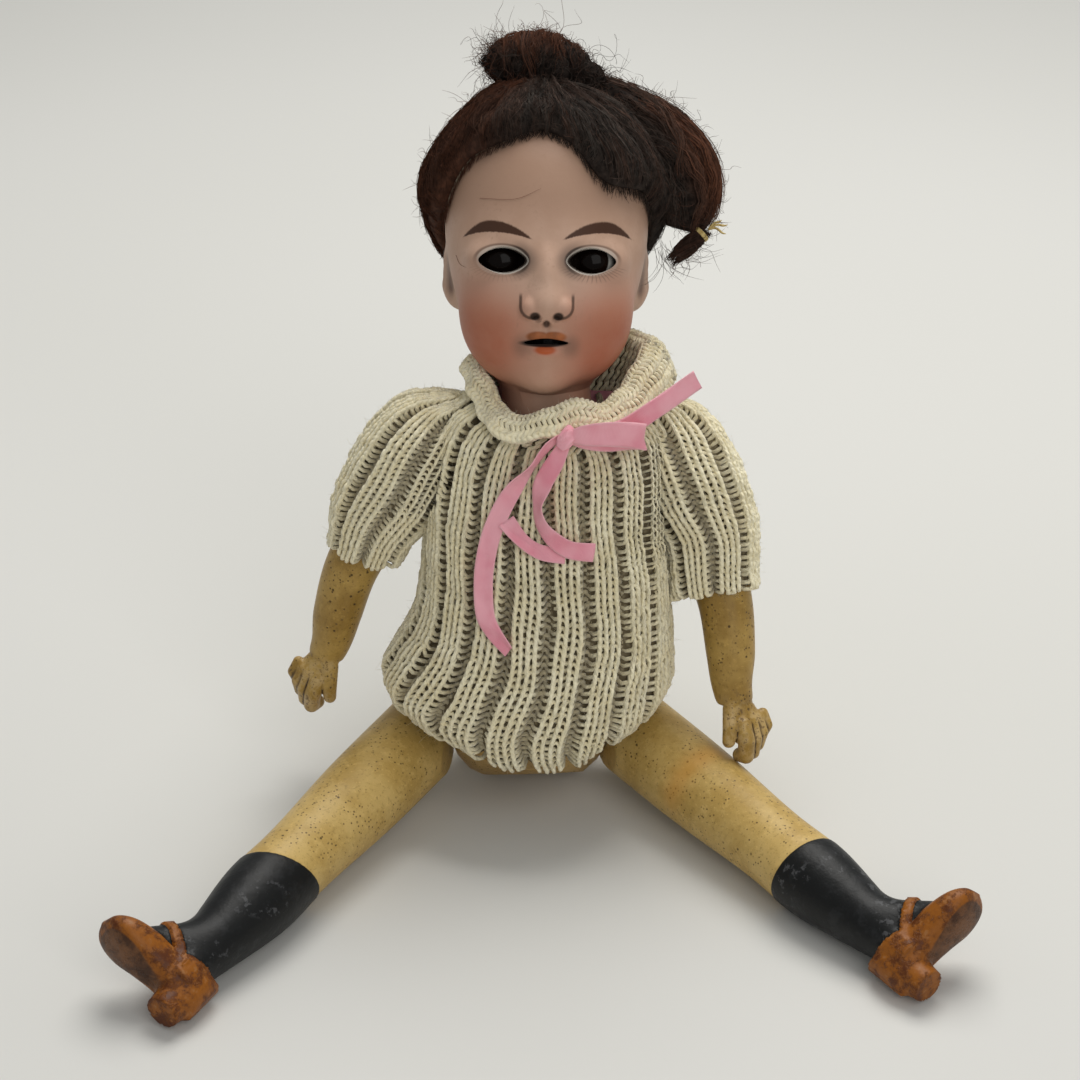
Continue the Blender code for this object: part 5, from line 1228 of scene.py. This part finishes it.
def hair_off(turn, share):
    """Height of the hair off the skull: lumpy, and thin at its edge."""
    turn = (np.asarray(turn, float) + 180) % 360 - 180
    blunt = 0.80 + 0.12 * rise(-turn, 55, 80) * rise(-turn, 140, 115)
    edge = np.sqrt(np.clip(1 - np.clip((share - blunt) / (1 - blunt), 0, 1) ** 2, 0, 1))
    angle = turn * DEG
    lumps = (0.55 * np.sin(7 * angle + share * 6) * np.sin(4 * angle + 2 - share * 4)
             + 0.35 * np.sin(17 * angle - share * 9))
    return 0.9 + (hair_depth(turn) + lumps) * (0.1 + 0.9 * edge)


def hair_red(turn):
    """How red the hair is round the head: reddish on the doll's right, greyish black in front."""
    away = np.abs((np.asarray(turn, float) + 100 + 180) % 360 - 180)
    return 0.12 + 0.78 * rise(-away, -85, -25)


random = np.random.default_rng(11)
mat_turns = np.arange(-180, 180, 3.0)
mat_rings = []
for share in np.concatenate((np.linspace(0.06, 0.8, 14), np.linspace(0.84, 0.985, 9))):
    mat_rings.append(on_hair(mat_turns, share, hair_off(mat_turns, share) * 0.9 - 0.35))
mat_rings += [on_hair(mat_turns, share, 0.95) for share in (0.97, 0.9, 0.7, 0.45, 0.2)]
points, faces = rings_skin(mat_rings)
mat_red = np.tile(hair_red(mat_turns), len(mat_rings))
gauze = plain_stuff("gauze", (0.20, 0.16, 0.11), (0.32, 0.27, 0.20), 1400, 0.95)
cap_shares = np.linspace(0.05, 0.93, 16)
cap_rings = [on_hair(mat_turns, share, 0.75) for share in cap_shares]
cap_rings += [on_hair(mat_turns, share, 0.35) for share in cap_shares[::-1]]
cap_points, cap_faces = rings_skin(cap_rings)
cap = make("gauze_cap", in_frame(HEAD_POSE, cap_points), flipped(cap_faces), gauze)
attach(cap, "head")
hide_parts("wig_cap")
wig = make("wig_mat", in_frame(HEAD_POSE, points), flipped(faces), mohair,
           red=mat_red, shade=mat_red * 0.15)
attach(wig, "head")
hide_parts("wig_hair")


STRAND_R, HAIRLINE_R, FRIZZ_R, STRAY_R, THREAD_R = 0.07, 0.05, 0.045, 0.04, 0.26


def hair_piece(name, lines, radius, reds, shades):
    """Strands as one piece, each with its own tint."""
    lengths = [len(line) for line in lines]
    made = yarn(name, lines, radius, 3, mohair, HEAD_POSE, red=np.repeat(np.clip(reds, 0, 1), lengths),
                shade=np.repeat(np.clip(shades, 0, 1), lengths))
    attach(made, "head")


def swept(clumps, low, high, strands):
    """Clumps of strands from the crown toward the hairline between two turns, each drawn to a point."""
    lines, reds, shades = [], [], []
    for _ in range(clumps):
        end = random.uniform(low, high)
        lean = 30 * rise(end, 0, 40) * rise(end, 110, 80) - 14 * rise(-end, 20, 60) * rise(-end, 130, 90)
        stop = random.uniform(0.5, 0.98) if random.random() < 0.55 else random.uniform(0.97, 1.035)
        start = max(0.05, stop - random.uniform(0.35, 0.7))
        wide, bow, puff = random.uniform(3, 8), random.normal(0, 2.5), min(random.exponential(0.5), 1.1)
        across = random.uniform(-1, 1, (strands, 1))
        first = start + random.uniform(0, 0.12, (strands, 1))
        last = stop - np.abs(random.normal(0, 0.03, (strands, 1)))
        share = first + (last - first) * np.linspace(0, 1, 12)
        crimp, pace, phase = random.uniform(0.5, 1.7), random.uniform(24, 42), random.uniform(0, 6.3)
        wave = share * pace + phase + random.normal(0, 0.6, (strands, 1))
        along = np.clip((share - start) / (stop - start), 0, 1)
        turn = (end - lean * np.clip(1 - share, 0, 1) ** 1.3 + bow * np.sin(along * np.pi)
                + wide * across * (1 - 0.72 * along ** 1.7)
                + crimp * np.sin(wave) + random.normal(0, 0.8, (strands, 1)))
        lift = (puff * (1 - across ** 2) * np.sin(np.clip(along * 0.85 + 0.1, 0, 1) * np.pi)
                + 0.22 * np.cos(wave) + random.normal(0, 0.24, (strands, 1))
                + random.exponential(0.2, (strands, 1)) * along)
        lines += list(on_hair(turn, share, np.maximum(hair_off(turn, np.minimum(share, 1)) + lift, 0.45)))
        reds.append(hair_red(end) + random.normal(0, 0.12) + random.normal(0, 0.08, strands))
        shades.append(random.uniform(0, 0.4) + random.exponential(0.16, strands))
    return lines, np.concatenate(reds), np.concatenate(shades)


for name, clumps, low, high in (("right", 105, -125, -15), ("front", 110, -30, 95), ("back", 64, 90, 245)):
    lines, reds, shades = swept(clumps, low, high, 24)
    hair_piece(f"wig_strands_{name}", lines, STRAND_R, reds, shades)
lines, reds = [], []
for _ in range(700):
    end = random.uniform(-100, 100)
    share = random.uniform(0.9, 0.99) + np.linspace(0, random.uniform(0.04, 0.10), 5)
    turn = end + random.normal(0, 2.0) * np.linspace(0, 1, 5) ** 1.5
    lines.append(on_hair(turn, share, 0.25 + np.abs(random.normal(0.5, 0.3)) * np.linspace(1, 0.2, 5)))
    reds.append(hair_red(end))
hair_piece("wig_hairline", lines, HAIRLINE_R, np.array(reds), random.uniform(0.1, 0.5, len(lines)))

# Topknot: the ends of the hair rolled over into a bun on the crown, painted brown above as light and black below as
# shade.
KNOT_MIDDLE, KNOT_SIZE = np.array((-0.6, 4, 83.0)), np.array((12.9, 8.2, 6.6))


def on_knot(along, around, off):
    """Place on the roll: along it from -1 to 1, and round it from the back over the top."""
    slim = (1 - np.clip(np.abs(along), 0, 1) ** 2.6) ** 0.45 * (1 - 0.3 * rise(along, 0.1, 1.0))
    return KNOT_MIDDLE + np.stack((along * (KNOT_SIZE[0] + off), np.cos(around) * (KNOT_SIZE[1] + off) * slim,
                                   np.sin(around) * (KNOT_SIZE[2] + off) * slim - 3.6 * rise(along, -0.1, 1.1)), -1)


# painted light and shade: redder and lighter on top of the bun, black underneath
def knot_top_light(level):
    return 0.1 + 0.85 * rise(level, 83, 88)


turns = circle(40)
points, faces = rings_skin([on_knot(a, turns, 0.3 * np.sin(turns * 5 + a * 7) - 0.5)
                            for a in np.sin(np.linspace(-1.5, 1.5, 34))])
# painted light and shade: the bun's mat redder and lighter on top, darker below
bun = make("topknot_mat", in_frame(HEAD_POSE, points), faces, mohair, red=knot_top_light(points[:, 2]),
           shade=0.12 * rise(points[:, 2], 81, 87))
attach(bun, "head")
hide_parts("topknot")
lines, reds, shades = [], [], []
for _ in range(80):
    middle, first, span = random.uniform(-0.96, 0.96), random.uniform(0, 2 * np.pi), random.uniform(1.0, 2.4)
    drift, puff, light = random.normal(0, 0.16), random.exponential(0.4), random.uniform(0, 0.4)
    phase = random.uniform(0, 6.3)
    for _ in range(26):
        s = np.linspace(0, 1, 10)
        side = random.uniform(-1, 1)
        along = (middle + 0.11 * side * (1 - 0.6 * s) + drift * s
                 + 0.035 * np.sin(s * 11 + phase + random.normal(0, 0.6)))
        around = first + random.normal(0, 0.15) + span * s
        lines.append(on_knot(np.clip(along, -1, 1), around, puff * (1 - side * side) * np.sin(s * np.pi)
                             + random.normal(0, 0.2) + random.exponential(0.15) * s))
        # painted light and shade by height on the bun: strands on top lighter, those below black
        level = lines[-1][4, 2]
        reds.append(knot_top_light(level) + random.normal(0, 0.1))
        shades.append((light + random.exponential(0.16)) * rise(level, 82.5, 87.5) - 0.02)
hair_piece("topknot_strands", lines, STRAND_R, np.array(reds), np.array(shades))

# Side tail: the rest of the hair carried over from the topknot and hung in a loose puff over the left ear, its
# end rolled up and tied with straw-coloured thread.
tail_x = through((0, 8), (0.2, 16.5), (0.45, 26), (0.65, 31), (0.85, 32), (1, 30.5))
tail_z = through((0, 79.5), (0.2, 74.8), (0.45, 67.8), (0.65, 60), (0.85, 52.5), (1, 46.5))
tail_wide = through((0, 2.6), (0.2, 4.2), (0.45, 5.8), (0.65, 6.7), (0.85, 6.2), (1, 4.2))
tail_deep = through((0, 3.0), (0.2, 5.0), (0.45, 6.3), (0.65, 6.5), (0.85, 5.6), (1, 3.6))


def on_tail(share, around, off):
    """Place on the puff: share down it, and round it from its outer side."""
    run_x, run_z = tail_x(share + 0.01) - tail_x(share - 0.01), tail_z(share + 0.01) - tail_z(share - 0.01)
    size = np.maximum(np.hypot(run_x, run_z), 1e-6)
    reach = (tail_wide(share) + off) * np.cos(around)
    return np.stack((tail_x(share) - run_z / size * reach, 6.5 + (tail_deep(share) + off) * np.sin(around),
                     tail_z(share) + run_x / size * reach), -1)


def tail_red(points):
    """Reddish on the outer side, and black on the inner side toward the head as painted shade."""
    return 0.1 + 0.8 * rise(points[:, 0] + (points[:, 2] - 60) * 0.45, 27, 35)


points, faces = rings_skin([on_tail(s, turns, 0.35 * np.sin(turns * 6 + s * 9) - 0.5)
                            for s in np.linspace(0, 0.99, 30)])
tail_mat = make("side_tail_mat", in_frame(HEAD_POSE, points), flipped(faces), mohair,
                red=tail_red(points), shade=points[:, 0] * 0)
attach(tail_mat, "head")
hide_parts("side_tail")
lines, reds, shades = [], [], []
for _ in range(78):
    middle, start, long = random.uniform(0, 2 * np.pi), random.uniform(0, 0.6), random.uniform(0.3, 0.6)
    twist, puff, light = random.normal(0, 0.5), random.exponential(0.4), random.uniform(0, 0.5)
    for _ in range(28):
        side = random.uniform(-1, 1)
        stop = min(start + long, 1.0) - abs(random.normal(0, 0.03))
        s = np.linspace(start + random.uniform(0, 0.1), stop, 11)
        t = np.linspace(0, 1, 11)
        around = (middle + 0.3 * side * (1 - 0.6 * t) + twist * t
                  + 0.07 * np.sin(s * 38 + middle * 9 + random.normal(0, 0.6)))
        lines.append(on_tail(s, around, puff * (1 - side * side) * np.sin(t * np.pi)
                             + random.normal(0, 0.25) + random.exponential(0.3) * t))
        reds.append(tail_red(lines[-1]).mean() + random.normal(0, 0.1))
        shades.append(light * 0.95 + random.exponential(0.18))
ROLL_START, ROLL_END, ROLL_R = np.array((35.2, 4.0, 46.6)), np.array((28.6, 3.0, 40.6)), 1.9
roll_run = (ROLL_END - ROLL_START) / np.linalg.norm(ROLL_END - ROLL_START)
roll_side = np.cross(roll_run, (0, 1, 0))
roll_front = np.cross(roll_run, roll_side)
for _ in range(420):
    s = np.linspace(random.uniform(-0.1, 0.3), random.uniform(0.72, 1.2), 8)
    turn, far_out = random.uniform(0, 2 * np.pi) + 1.3 * s, ROLL_R * random.uniform(0.55, 1.15)
    swell = far_out * (0.7 + 0.3 * np.sin(np.clip(s, 0, 1) * np.pi)) + 0.12 * np.sin(s * 14 + random.uniform(0, 6))
    lines.append(ROLL_START + np.outer(s, ROLL_END - ROLL_START) + np.outer(swell * np.cos(turn), roll_side)
                 + np.outer(swell * np.sin(turn), roll_front))
    reds.append(random.uniform(0.3, 0.6))
    shades.append(random.uniform(0, 0.3))
hair_piece("side_tail_strands", lines, STRAND_R, np.array(reds), np.array(shades))
straw = Finish("straw_thread", roughness=0.75)
twist = straw.noise(straw.place(), 1800, 2.0)
straw.set(base_color=straw.mix(twist.rise(0.3, 0.7), (0.42, 0.29, 0.09), (0.66, 0.52, 0.22)))
straw.bump(twist, 0.0002, 0.7)
s = np.linspace(0, 1, 60)
turn = s * 2 * np.pi * 3.5
wraps = [ROLL_START + np.outer(0.6 + 0.8 * s, roll_run) + 1.75 * np.outer(np.cos(turn), roll_side)
         + 1.75 * np.outer(np.sin(turn), roll_front)]
for far_end in ((4.4, -1.0, 1.6), (3.0, -1.8, 2.6), (4.0, -1.5, -0.4)):
    s = np.linspace(0, 1, 9)
    wraps.append(ROLL_START + (0.8, -1.2, 0.4) + np.outer(s, far_end) + np.outer(np.sin(s * 5), (0.2, 0, 0.5)))
tie = yarn("tail_tie", wraps, THREAD_R, 6, straw, HEAD_POSE)
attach(tie, "head")
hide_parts("tail_thread")

# Frizz: short fibres standing off the whole wig, longer curled hairs that have worked loose round the topknot
# and the tail, and single strays on the face.
def loose_hair(root, away, long, curl, count):
    """One springy hair from a root."""
    away = away / np.linalg.norm(away)
    side = np.cross(away, random.normal(0, 1, 3))
    side /= np.linalg.norm(side)
    lift = np.cross(away, side)
    s = np.linspace(0, 1, count)
    bend, size = random.normal(0, 0.8, 2), random.uniform(0.2, 0.6) * curl
    ring = 2 * np.pi * random.uniform(0.7, 2.0) * s + random.uniform(0, 6.3)
    size = size * (0.3 + 0.7 * s)
    return (root + np.outer(s * long * (1 - 0.3 * s), away)
            + np.outer(long * 0.6 * bend[0] * s ** 2 + size * (np.sin(ring) - math.sin(ring[0])), side)
            + np.outer(long * 0.6 * bend[1] * s ** 2 + size * (np.cos(ring) - math.cos(ring[0])), lift))


def frizz_root(kind):
    """Root, way out and redness of a loose hair on the wig, the topknot or the tail."""
    if kind == "wig":
        turn, share = np.array([random.uniform(-160, 160)]), np.array([random.uniform(0.1, 1.0)])
        root = on_hair(turn, share, hair_off(turn, share) - 0.2)[0]
        return root, (root - HEAD_MIDDLE) / 25, hair_red(turn[0])
    if kind == "knot":
        root = on_knot(np.array([random.uniform(-1, 1)]), np.array([random.uniform(-0.5, 3.6)]), 0.0)[0]
        return root, (root - KNOT_MIDDLE) / 8, knot_top_light(root[2])
    if kind == "knot_end":
        root = on_knot(np.array([random.uniform(-1, -0.8)]), np.array([random.uniform(0, 6.3)]), 0.0)[0]
        return root, np.array((-1.0, -0.1, 0.35)), 0.7
    if kind == "tail":
        root = on_tail(np.array([random.uniform(0.05, 1.0)]), np.array([random.uniform(-2.2, 2.2)]), -0.2)[0]
        return root, (root - (26, 6.5, 58)) / 12, 0.5
    root = ROLL_START + (ROLL_END - ROLL_START) * random.uniform(0.2, 1.0) + random.normal(0, 1.0, 3)
    return root, np.array((0.9, -0.2, -0.7)), 0.4


# where, how many, shortest, longest, how wild, curl, points
FRIZZ = (("wig", 1700, 1.4, 4.2, 0.9, 0.8, 7), ("knot", 700, 1.4, 4.2, 0.9, 0.9, 7),
         ("tail", 650, 1.4, 4.2, 0.9, 0.9, 7), ("knot_end", 130, 3.0, 7.5, 0.7, 1.5, 14),
         ("roll", 60, 2.0, 7.0, 0.6, 1.5, 12), ("wig", 60, 4.0, 9.0, 0.8, 1.6, 14),
         ("knot", 44, 6.0, 13.0, 0.6, 4.0, 22), ("tail", 40, 4.0, 9.0, 0.7, 1.8, 14))
lines, reds = [], []
for kind, number, short, long, wild, curl, count in FRIZZ:
    for _ in range(number):
        root, away, how_red = frizz_root(kind)
        away = away + random.normal(0, wild, 3)
        lines.append(loose_hair(root, away, random.uniform(short, long), curl, count))
        reds.append(how_red + random.normal(0.05, 0.15))
for _ in range(16):
    root = np.array((26.0, 3.0, 43.0)) + random.normal(0, 1.0, 3)
    away = np.array((0.35, -0.1, -1.0)) + random.normal(0, 0.15, 3)
    lines.append(loose_hair(root, away, random.uniform(8, 13), 0.5, 10))
    reds.append(0.2)
hair_piece("frizz", lines, FRIZZ_R, np.array(reds), random.uniform(0.1, 0.6, len(lines)))


def face_line(*places):
    """Hair lying on the face through (out, level) places."""
    out, level = (through(*enumerate(k))(np.linspace(0, len(places) - 1, 14)) for k in zip(*places))
    return np.array([(x, front_of(head_form, x, z) - 0.12, z) for x, z in zip(out, level)])


stray_turn = np.linspace(-84, -42, 14)
stray_share = np.linspace(0.50, 0.36, 14)
strays = [face_line((-14.7, 52.7), (-7.1, 52.5), (-1.5, 54.8)), face_line((-19.8, 40.5), (-18.9, 38.6), (-17.4, 37.8)),
          on_hair(stray_turn, stray_share, hair_off(stray_turn, stray_share) + 0.7)]
hair_piece("stray_hairs", strays, STRAY_R, np.array((0.8, 0.8, 0.9)), np.array((0.9, 0.8, 1.0)))

# Collar edging: a band crocheted onto the neck edge of the sweater in the same wool, standing in a ruffle at the
# sides and the back and turned over in front, with a thick corded last row.
collar_turns = np.arange(0, 360, 1.5)
collar_angle = collar_turns * DEG
NECK_EDGE_R = 17


def round_neck(*stations):
    """Smooth run round the neck through (degrees from the doll's left round the back, number) stations."""
    return through(*sorted((t + lap, number) for lap in (-360, 0, 360) for t, number in stations))(collar_turns)


across, ahead = np.cos(collar_angle), np.sin(collar_angle)
fold_reach = round_neck((0, 19.4), (30, 19.2), (60, 18), (90, 17.5), (135, 17.3), (180, 17.2), (200, 15.6), (216, 15.8),
                        (235, 16.8), (250, 17), (262, 17.2), (275, 16.6), (290, 17.4), (314, 17.6), (330, 16.8),
                        (345, 18.6))
fold_level = round_neck((0, 110.5), (30, 110), (60, 107), (90, 104.5), (135, 104), (180, 105), (200, 101.8),
                        (216, 98.5), (235, 97), (250, 97.5), (262, 99.4), (275, 101.2), (290, 101.4), (300, 100.6),
                        (314, 102), (330, 104), (345, 108))
rim_reach = round_neck((0, 25.6), (30, 24.5), (60, 22), (90, 20.5), (135, 20), (180, 20.3), (200, 19), (216, 20.2),
                       (235, 21.8), (250, 21.4), (262, 21), (275, 20.5), (290, 21), (314, 21.5), (330, 22), (345, 24))
rim_level = round_neck((0, 102.5), (30, 104), (60, 103), (90, 101.5), (135, 101), (180, 101.5), (200, 98), (216, 95.6),
                       (235, 93.6), (250, 93.4), (262, 95), (275, 96.4), (290, 97), (300, 96.6), (314, 97),
                       (330, 98.5), (345, 100.5))
foot_level = 89.4 + 6.3 * np.abs(across) ** 1.6 + 2.5 * rise(ahead, 0, 1)
places = (0, 0.34, 0.58, 0.78, 1)
reaches = np.stack((NECK_EDGE_R + 0 * ahead, 0.4 * NECK_EDGE_R + 0.6 * fold_reach - 0.3, fold_reach,
                    fold_reach + 0.55 * (rim_reach - fold_reach), rim_reach), 1)
levels = np.stack((foot_level, 0.4 * foot_level + 0.6 * fold_level, fold_level,
                   fold_level - 0.2 * (fold_level - rim_level), rim_level), 1)
collar_rows = []
for share in np.linspace(0, 1, 30):
    reach, level = (np.array([through(*zip(places, column))(share) for column in k]) for k in (reaches, levels))
    reach = reach + share * (0.45 * np.sin(collar_angle * 11 + 1.0) + 0.35 * np.sin(collar_angle * 19))
    level = level + 0.4 * share * np.sin(collar_angle * 13)
    collar_rows.append(np.stack((reach * across, reach * ahead * 0.97 - NECK_AHEAD, level), 1))
collar_cloth = Cloth(np.array(collar_rows))
collar_ground = ground("collar_inner_face", collar_cloth, 30, 18, 0.0, TORSO_POSE, ribbed=0.0)
COLLAR_STITCHES, COLLAR_YARN_R, COLLAR_CORD_R = 54, 0.52, 0.66
t = np.linspace(0, 1, COLLAR_STITCHES * 10 + 1)
stitches = []
for row in range(5):
    swing = 2 * np.pi * COLLAR_STITCHES * t + np.pi * row
    v = (row + 0.5 + 0.66 * np.sin(swing)) * 0.105
    stitches.append(collar_cloth.at(t + 0.3 / COLLAR_STITCHES * np.sin(2 * swing), v, 0.6 * np.cos(swing)))
for row, v in enumerate((0.53, 0.61, 0.69, 0.77, 0.85, 0.93, 0.99)):
    for strand in range(2):
        swing = 2 * np.pi * (COLLAR_STITCHES * t * (1 if row % 2 else -1) + strand / 2)
        stitches.append(collar_cloth.at(t, v + 0.034 * np.sin(swing), 0.42 * np.cos(swing)))
for line in stitches:
    line[-1] = line[0]
collar_yarn = yarn("collar_stitches", stitches[:-4], COLLAR_YARN_R, 5, wool, TORSO_POSE)
collar_cord = yarn("collar_cord", stitches[-4:], COLLAR_CORD_R, 6, wool, TORSO_POSE)
collar_fuzz = yarn("collar_fuzz", fuzz(stitches, 1700, FUZZ_LONG, 13), FUZZ_R, 3, wool, TORSO_POSE)
for one in (collar_ground, collar_yarn, collar_cord, collar_fuzz):
    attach(one, "torso")
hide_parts("sweater_collar")

# Ribbon: narrow pink satin threaded round the neck inside the collar and tied in a half bow in front, with
# one loop, two tails down the chest and one standing up across the shoulder. The cut ends are raw.
satin = Finish("pink_satin", roughness=0.36, specular_ior_level=0.4, sheen_weight=0.2, sheen_roughness=0.4)
run, side_way = satin.kept("run"), satin.kept("side")
threads = (run * 22.0).math("SINE") * 0.5 + (side_way * 160.0).math("SINE") * 0.25
fade = satin.noise(satin.place(), 120, 3.0)
pink = satin.mix(fade.rise(0.3, 0.7), (0.85, 0.285, 0.37), (0.95, 0.45, 0.52))
pink = satin.mix(side_way.rise(0.84, 0.95) * 0.5, pink, (0.97, 0.56, 0.60))
satin.set(base_color=pink)
satin.bump(threads, 0.00005, 0.6)
RIBBON_THICK = 0.16
chest = BVHTree.FromPolygons([tuple(p) for p in body_cloth.grid.reshape(-1, 3)], ring_faces(*body_cloth.grid.shape[:2]))


def chest_front(x, level):
    """Front of the knit at a place on the chest."""
    hit = chest.ray_cast((x, -80, level), (0, 1, 0))[0]
    return hit.y if hit is not None else 0.0


def curve_through(points, count):
    """Smooth run through points, evenly spaced."""
    points = np.array(points, float)
    place = np.concatenate(([0], np.cumsum(np.linalg.norm(np.diff(points[:, :3], axis=0), axis=1))))
    where = np.linspace(0, place[-1], count)
    return np.stack([through(*zip(place, points[:, k]))(where) for k in range(points.shape[1])], 1)


def strip(name, stations, node=None, count=64, upright=None):
    """Ribbon through (x, y, z, turn of its face from the front, width) stations in the torso's frame,
    kept clear of the knit; an upright direction across it makes it turn on edge instead."""
    path = curve_through(stations, count)
    middles, turn, wide = path[:, :3], path[:, 3:4] * DEG, path[:, 4]
    middles[:, 1] = np.minimum(middles[:, 1], [chest_front(x, z) - 1.0 for x, _, z in middles])
    for _ in range(4):
        middles[1:-1, 1] = (middles[:-2, 1] + 2 * middles[1:-1, 1] + middles[2:, 1]) / 4
    tangent = np.gradient(middles, axis=0)
    tangent /= np.linalg.norm(tangent, axis=1, keepdims=True)
    flat = np.cross(tangent, (0, -1, 0))
    if upright is not None:
        flat = upright - tangent * (tangent @ upright)[:, None]
    flat /= np.maximum(np.linalg.norm(flat, axis=1, keepdims=True), 1e-6)
    lift = np.cross(flat, tangent)
    across = flat * np.cos(turn) + lift * np.sin(turn)
    outward = np.cross(tangent, across)
    place = np.concatenate(([0], np.cumsum(np.linalg.norm(np.diff(middles, axis=0), axis=1))))
    s = np.linspace(-1, 1, 9)
    cup = 0.3 * np.outer(np.sin(place * 0.45 + 1.0), 1 - s * s)
    spots = (middles[:, None] + across[:, None] * (s * wide[:, None] / 2)[..., None]
             + outward[:, None] * cup[..., None])
    spots[..., 1] = np.minimum(spots[..., 1], [[chest_front(x, z) - 1.1 for x, _, z in row] for row in spots])
    faces = [(i * 9 + k, i * 9 + k + 1, i * 9 + k + 10, i * 9 + k + 9) for i in range(count - 1) for k in range(8)]
    made = make(name, in_frame(TORSO_POSE, spots.reshape(-1, 3)), faces, satin, run=np.repeat(place, 9),
                side=np.tile(np.abs(s), count))
    body = made.modifiers.new("thickness", "SOLIDIFY")
    body.thickness, body.offset = RIBBON_THICK * MM, 0
    settle(made)
    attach(made, "torso")
    if node:
        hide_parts(node)


strip("ribbon_tail_long", ((1.0, -24.6, 95.6, 25, 2.0), (-2.2, -25.4, 93.4, 40, 2.9), (-5.4, -24.2, 88.0, 58, 3.9),
                           (-8.8, -23.2, 82.8, 25, 4.2), (-11.4, -22.2, 77.6, 8, 4.2), (-13.4, -22.4, 71.8, 4, 4.2),
                           (-14.4, -23.6, 66.0, 0, 4.2), (-14.6, -25.0, 60.5, 0, 4.2), (-13.8, -26.2, 53.6, -8, 4.2),
                           (-12.0, -27.4, 50.4, -20, 4.0), (-8.4, -28.8, 46.6, -46, 3.9)), "bow_tail_long")
strip("ribbon_tail_short", ((1.6, -25.2, 95.0, -20, 2.2), (-0.6, -25.8, 90.0, -18, 3.9), (-2.9, -25.0, 84.6, -24, 4.2),
                            (-3.9, -25.4, 79.8, -66, 4.2), (-2.9, -26.6, 75.8, -50, 4.2), (0.0, -27.6, 72.6, -22, 4.2),
                            (3.8, -27.2, 70.2, -4, 4.2), (9.2, -26.2, 69.4, 10, 4.2)), "bow_tail_short")
strip("ribbon_under_end", ((-10.4, -23.6, 75.2, 20, 4.2), (-6.6, -24.6, 71.4, 40, 3.8), (-2.6, -25.2, 69.2, 36, 3.8),
                           (3.0, -24.6, 68.6, 16, 4.0)), None, 32)
strip("ribbon_loop", ((1.6, -26.0, 95.6, 0, 2.4), (5.0, -27.6, 96.7, 0, 4.8), (9.6, -28.2, 97.4, 0, 5.8),
                      (14.4, -27.2, 97.2, 0, 6.0), (17.8, -25.0, 96.2, 0, 5.8), (18.4, -22.9, 95.3, 0, 5.6),
                      (15.6, -21.9, 94.6, 0, 5.4), (10.6, -23.4, 94.2, 0, 4.8), (5.6, -24.6, 94.4, 0, 3.6),
                      (2.2, -24.6, 94.8, 0, 2.2)), "bow_loop", 72, np.array((-0.1, -0.15, 1.0)))
strip("ribbon_tail_up", ((2.6, -24.6, 95.2, 10, 2.6), (8.0, -24.4, 95.8, 0, 4.2), (14.0, -23.4, 97.4, -8, 4.7),
                         (21.2, -20.6, 101.6, -10, 4.7), (29.8, -17.2, 107.2, -10, 4.7)), "bow_tail_up", 48)
KNOT_PLACE = np.array((1.4, -26.0, 95.4))
knot_turn = circle(48)
knot_rings = []
for along in np.linspace(-1, 1, 17):
    pinch = 0.5 + 0.5 * math.cos(along * 1.9)
    fold = 1 + 0.16 * np.cos(knot_turn * 5 + 2.5 * along) + 0.07 * np.cos(knot_turn * 11)
    knot_rings.append(KNOT_PLACE + np.stack((2.1 * along + 0 * knot_turn, 1.75 * pinch * fold * np.cos(knot_turn),
                                             2.5 * pinch * fold * np.sin(knot_turn) + 0.9 * along), 1))
points, faces = rings_skin(knot_rings)
knot = make("ribbon_knot", in_frame(TORSO_POSE, points), flipped(faces), satin,
            run=np.repeat(np.linspace(0, 4, 17), 48), side=np.tile(np.abs(np.sin(knot_turn)) * 0.8, 17))
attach(knot, "torso")
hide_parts("bow_knot")
BAND_R, BAND_LEVEL = 15.2, 92.4
around = circle(96)
band = []
for along, thick in ((-1, -0.08), (1, -0.08), (1, 0.08), (-1, 0.08)):
    reach = BAND_R + thick + 0.25 * along
    level = BAND_LEVEL + 2.6 * np.abs(np.cos(around)) ** 1.6 + 2.2 * along + 0.4 * np.sin(around * 5)
    band.append(np.stack((reach * np.cos(around), reach * np.sin(around) - NECK_AHEAD, level), 1))
faces = ring_faces(4, 96, looped=True)
neck_band = make("ribbon_round_neck", in_frame(TORSO_POSE, np.concatenate(band)), flipped(faces), satin,
                 run=np.tile(around * 15, 4), side=np.full(384, 0.5))
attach(neck_band, "torso")
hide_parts("neck_ribbon")
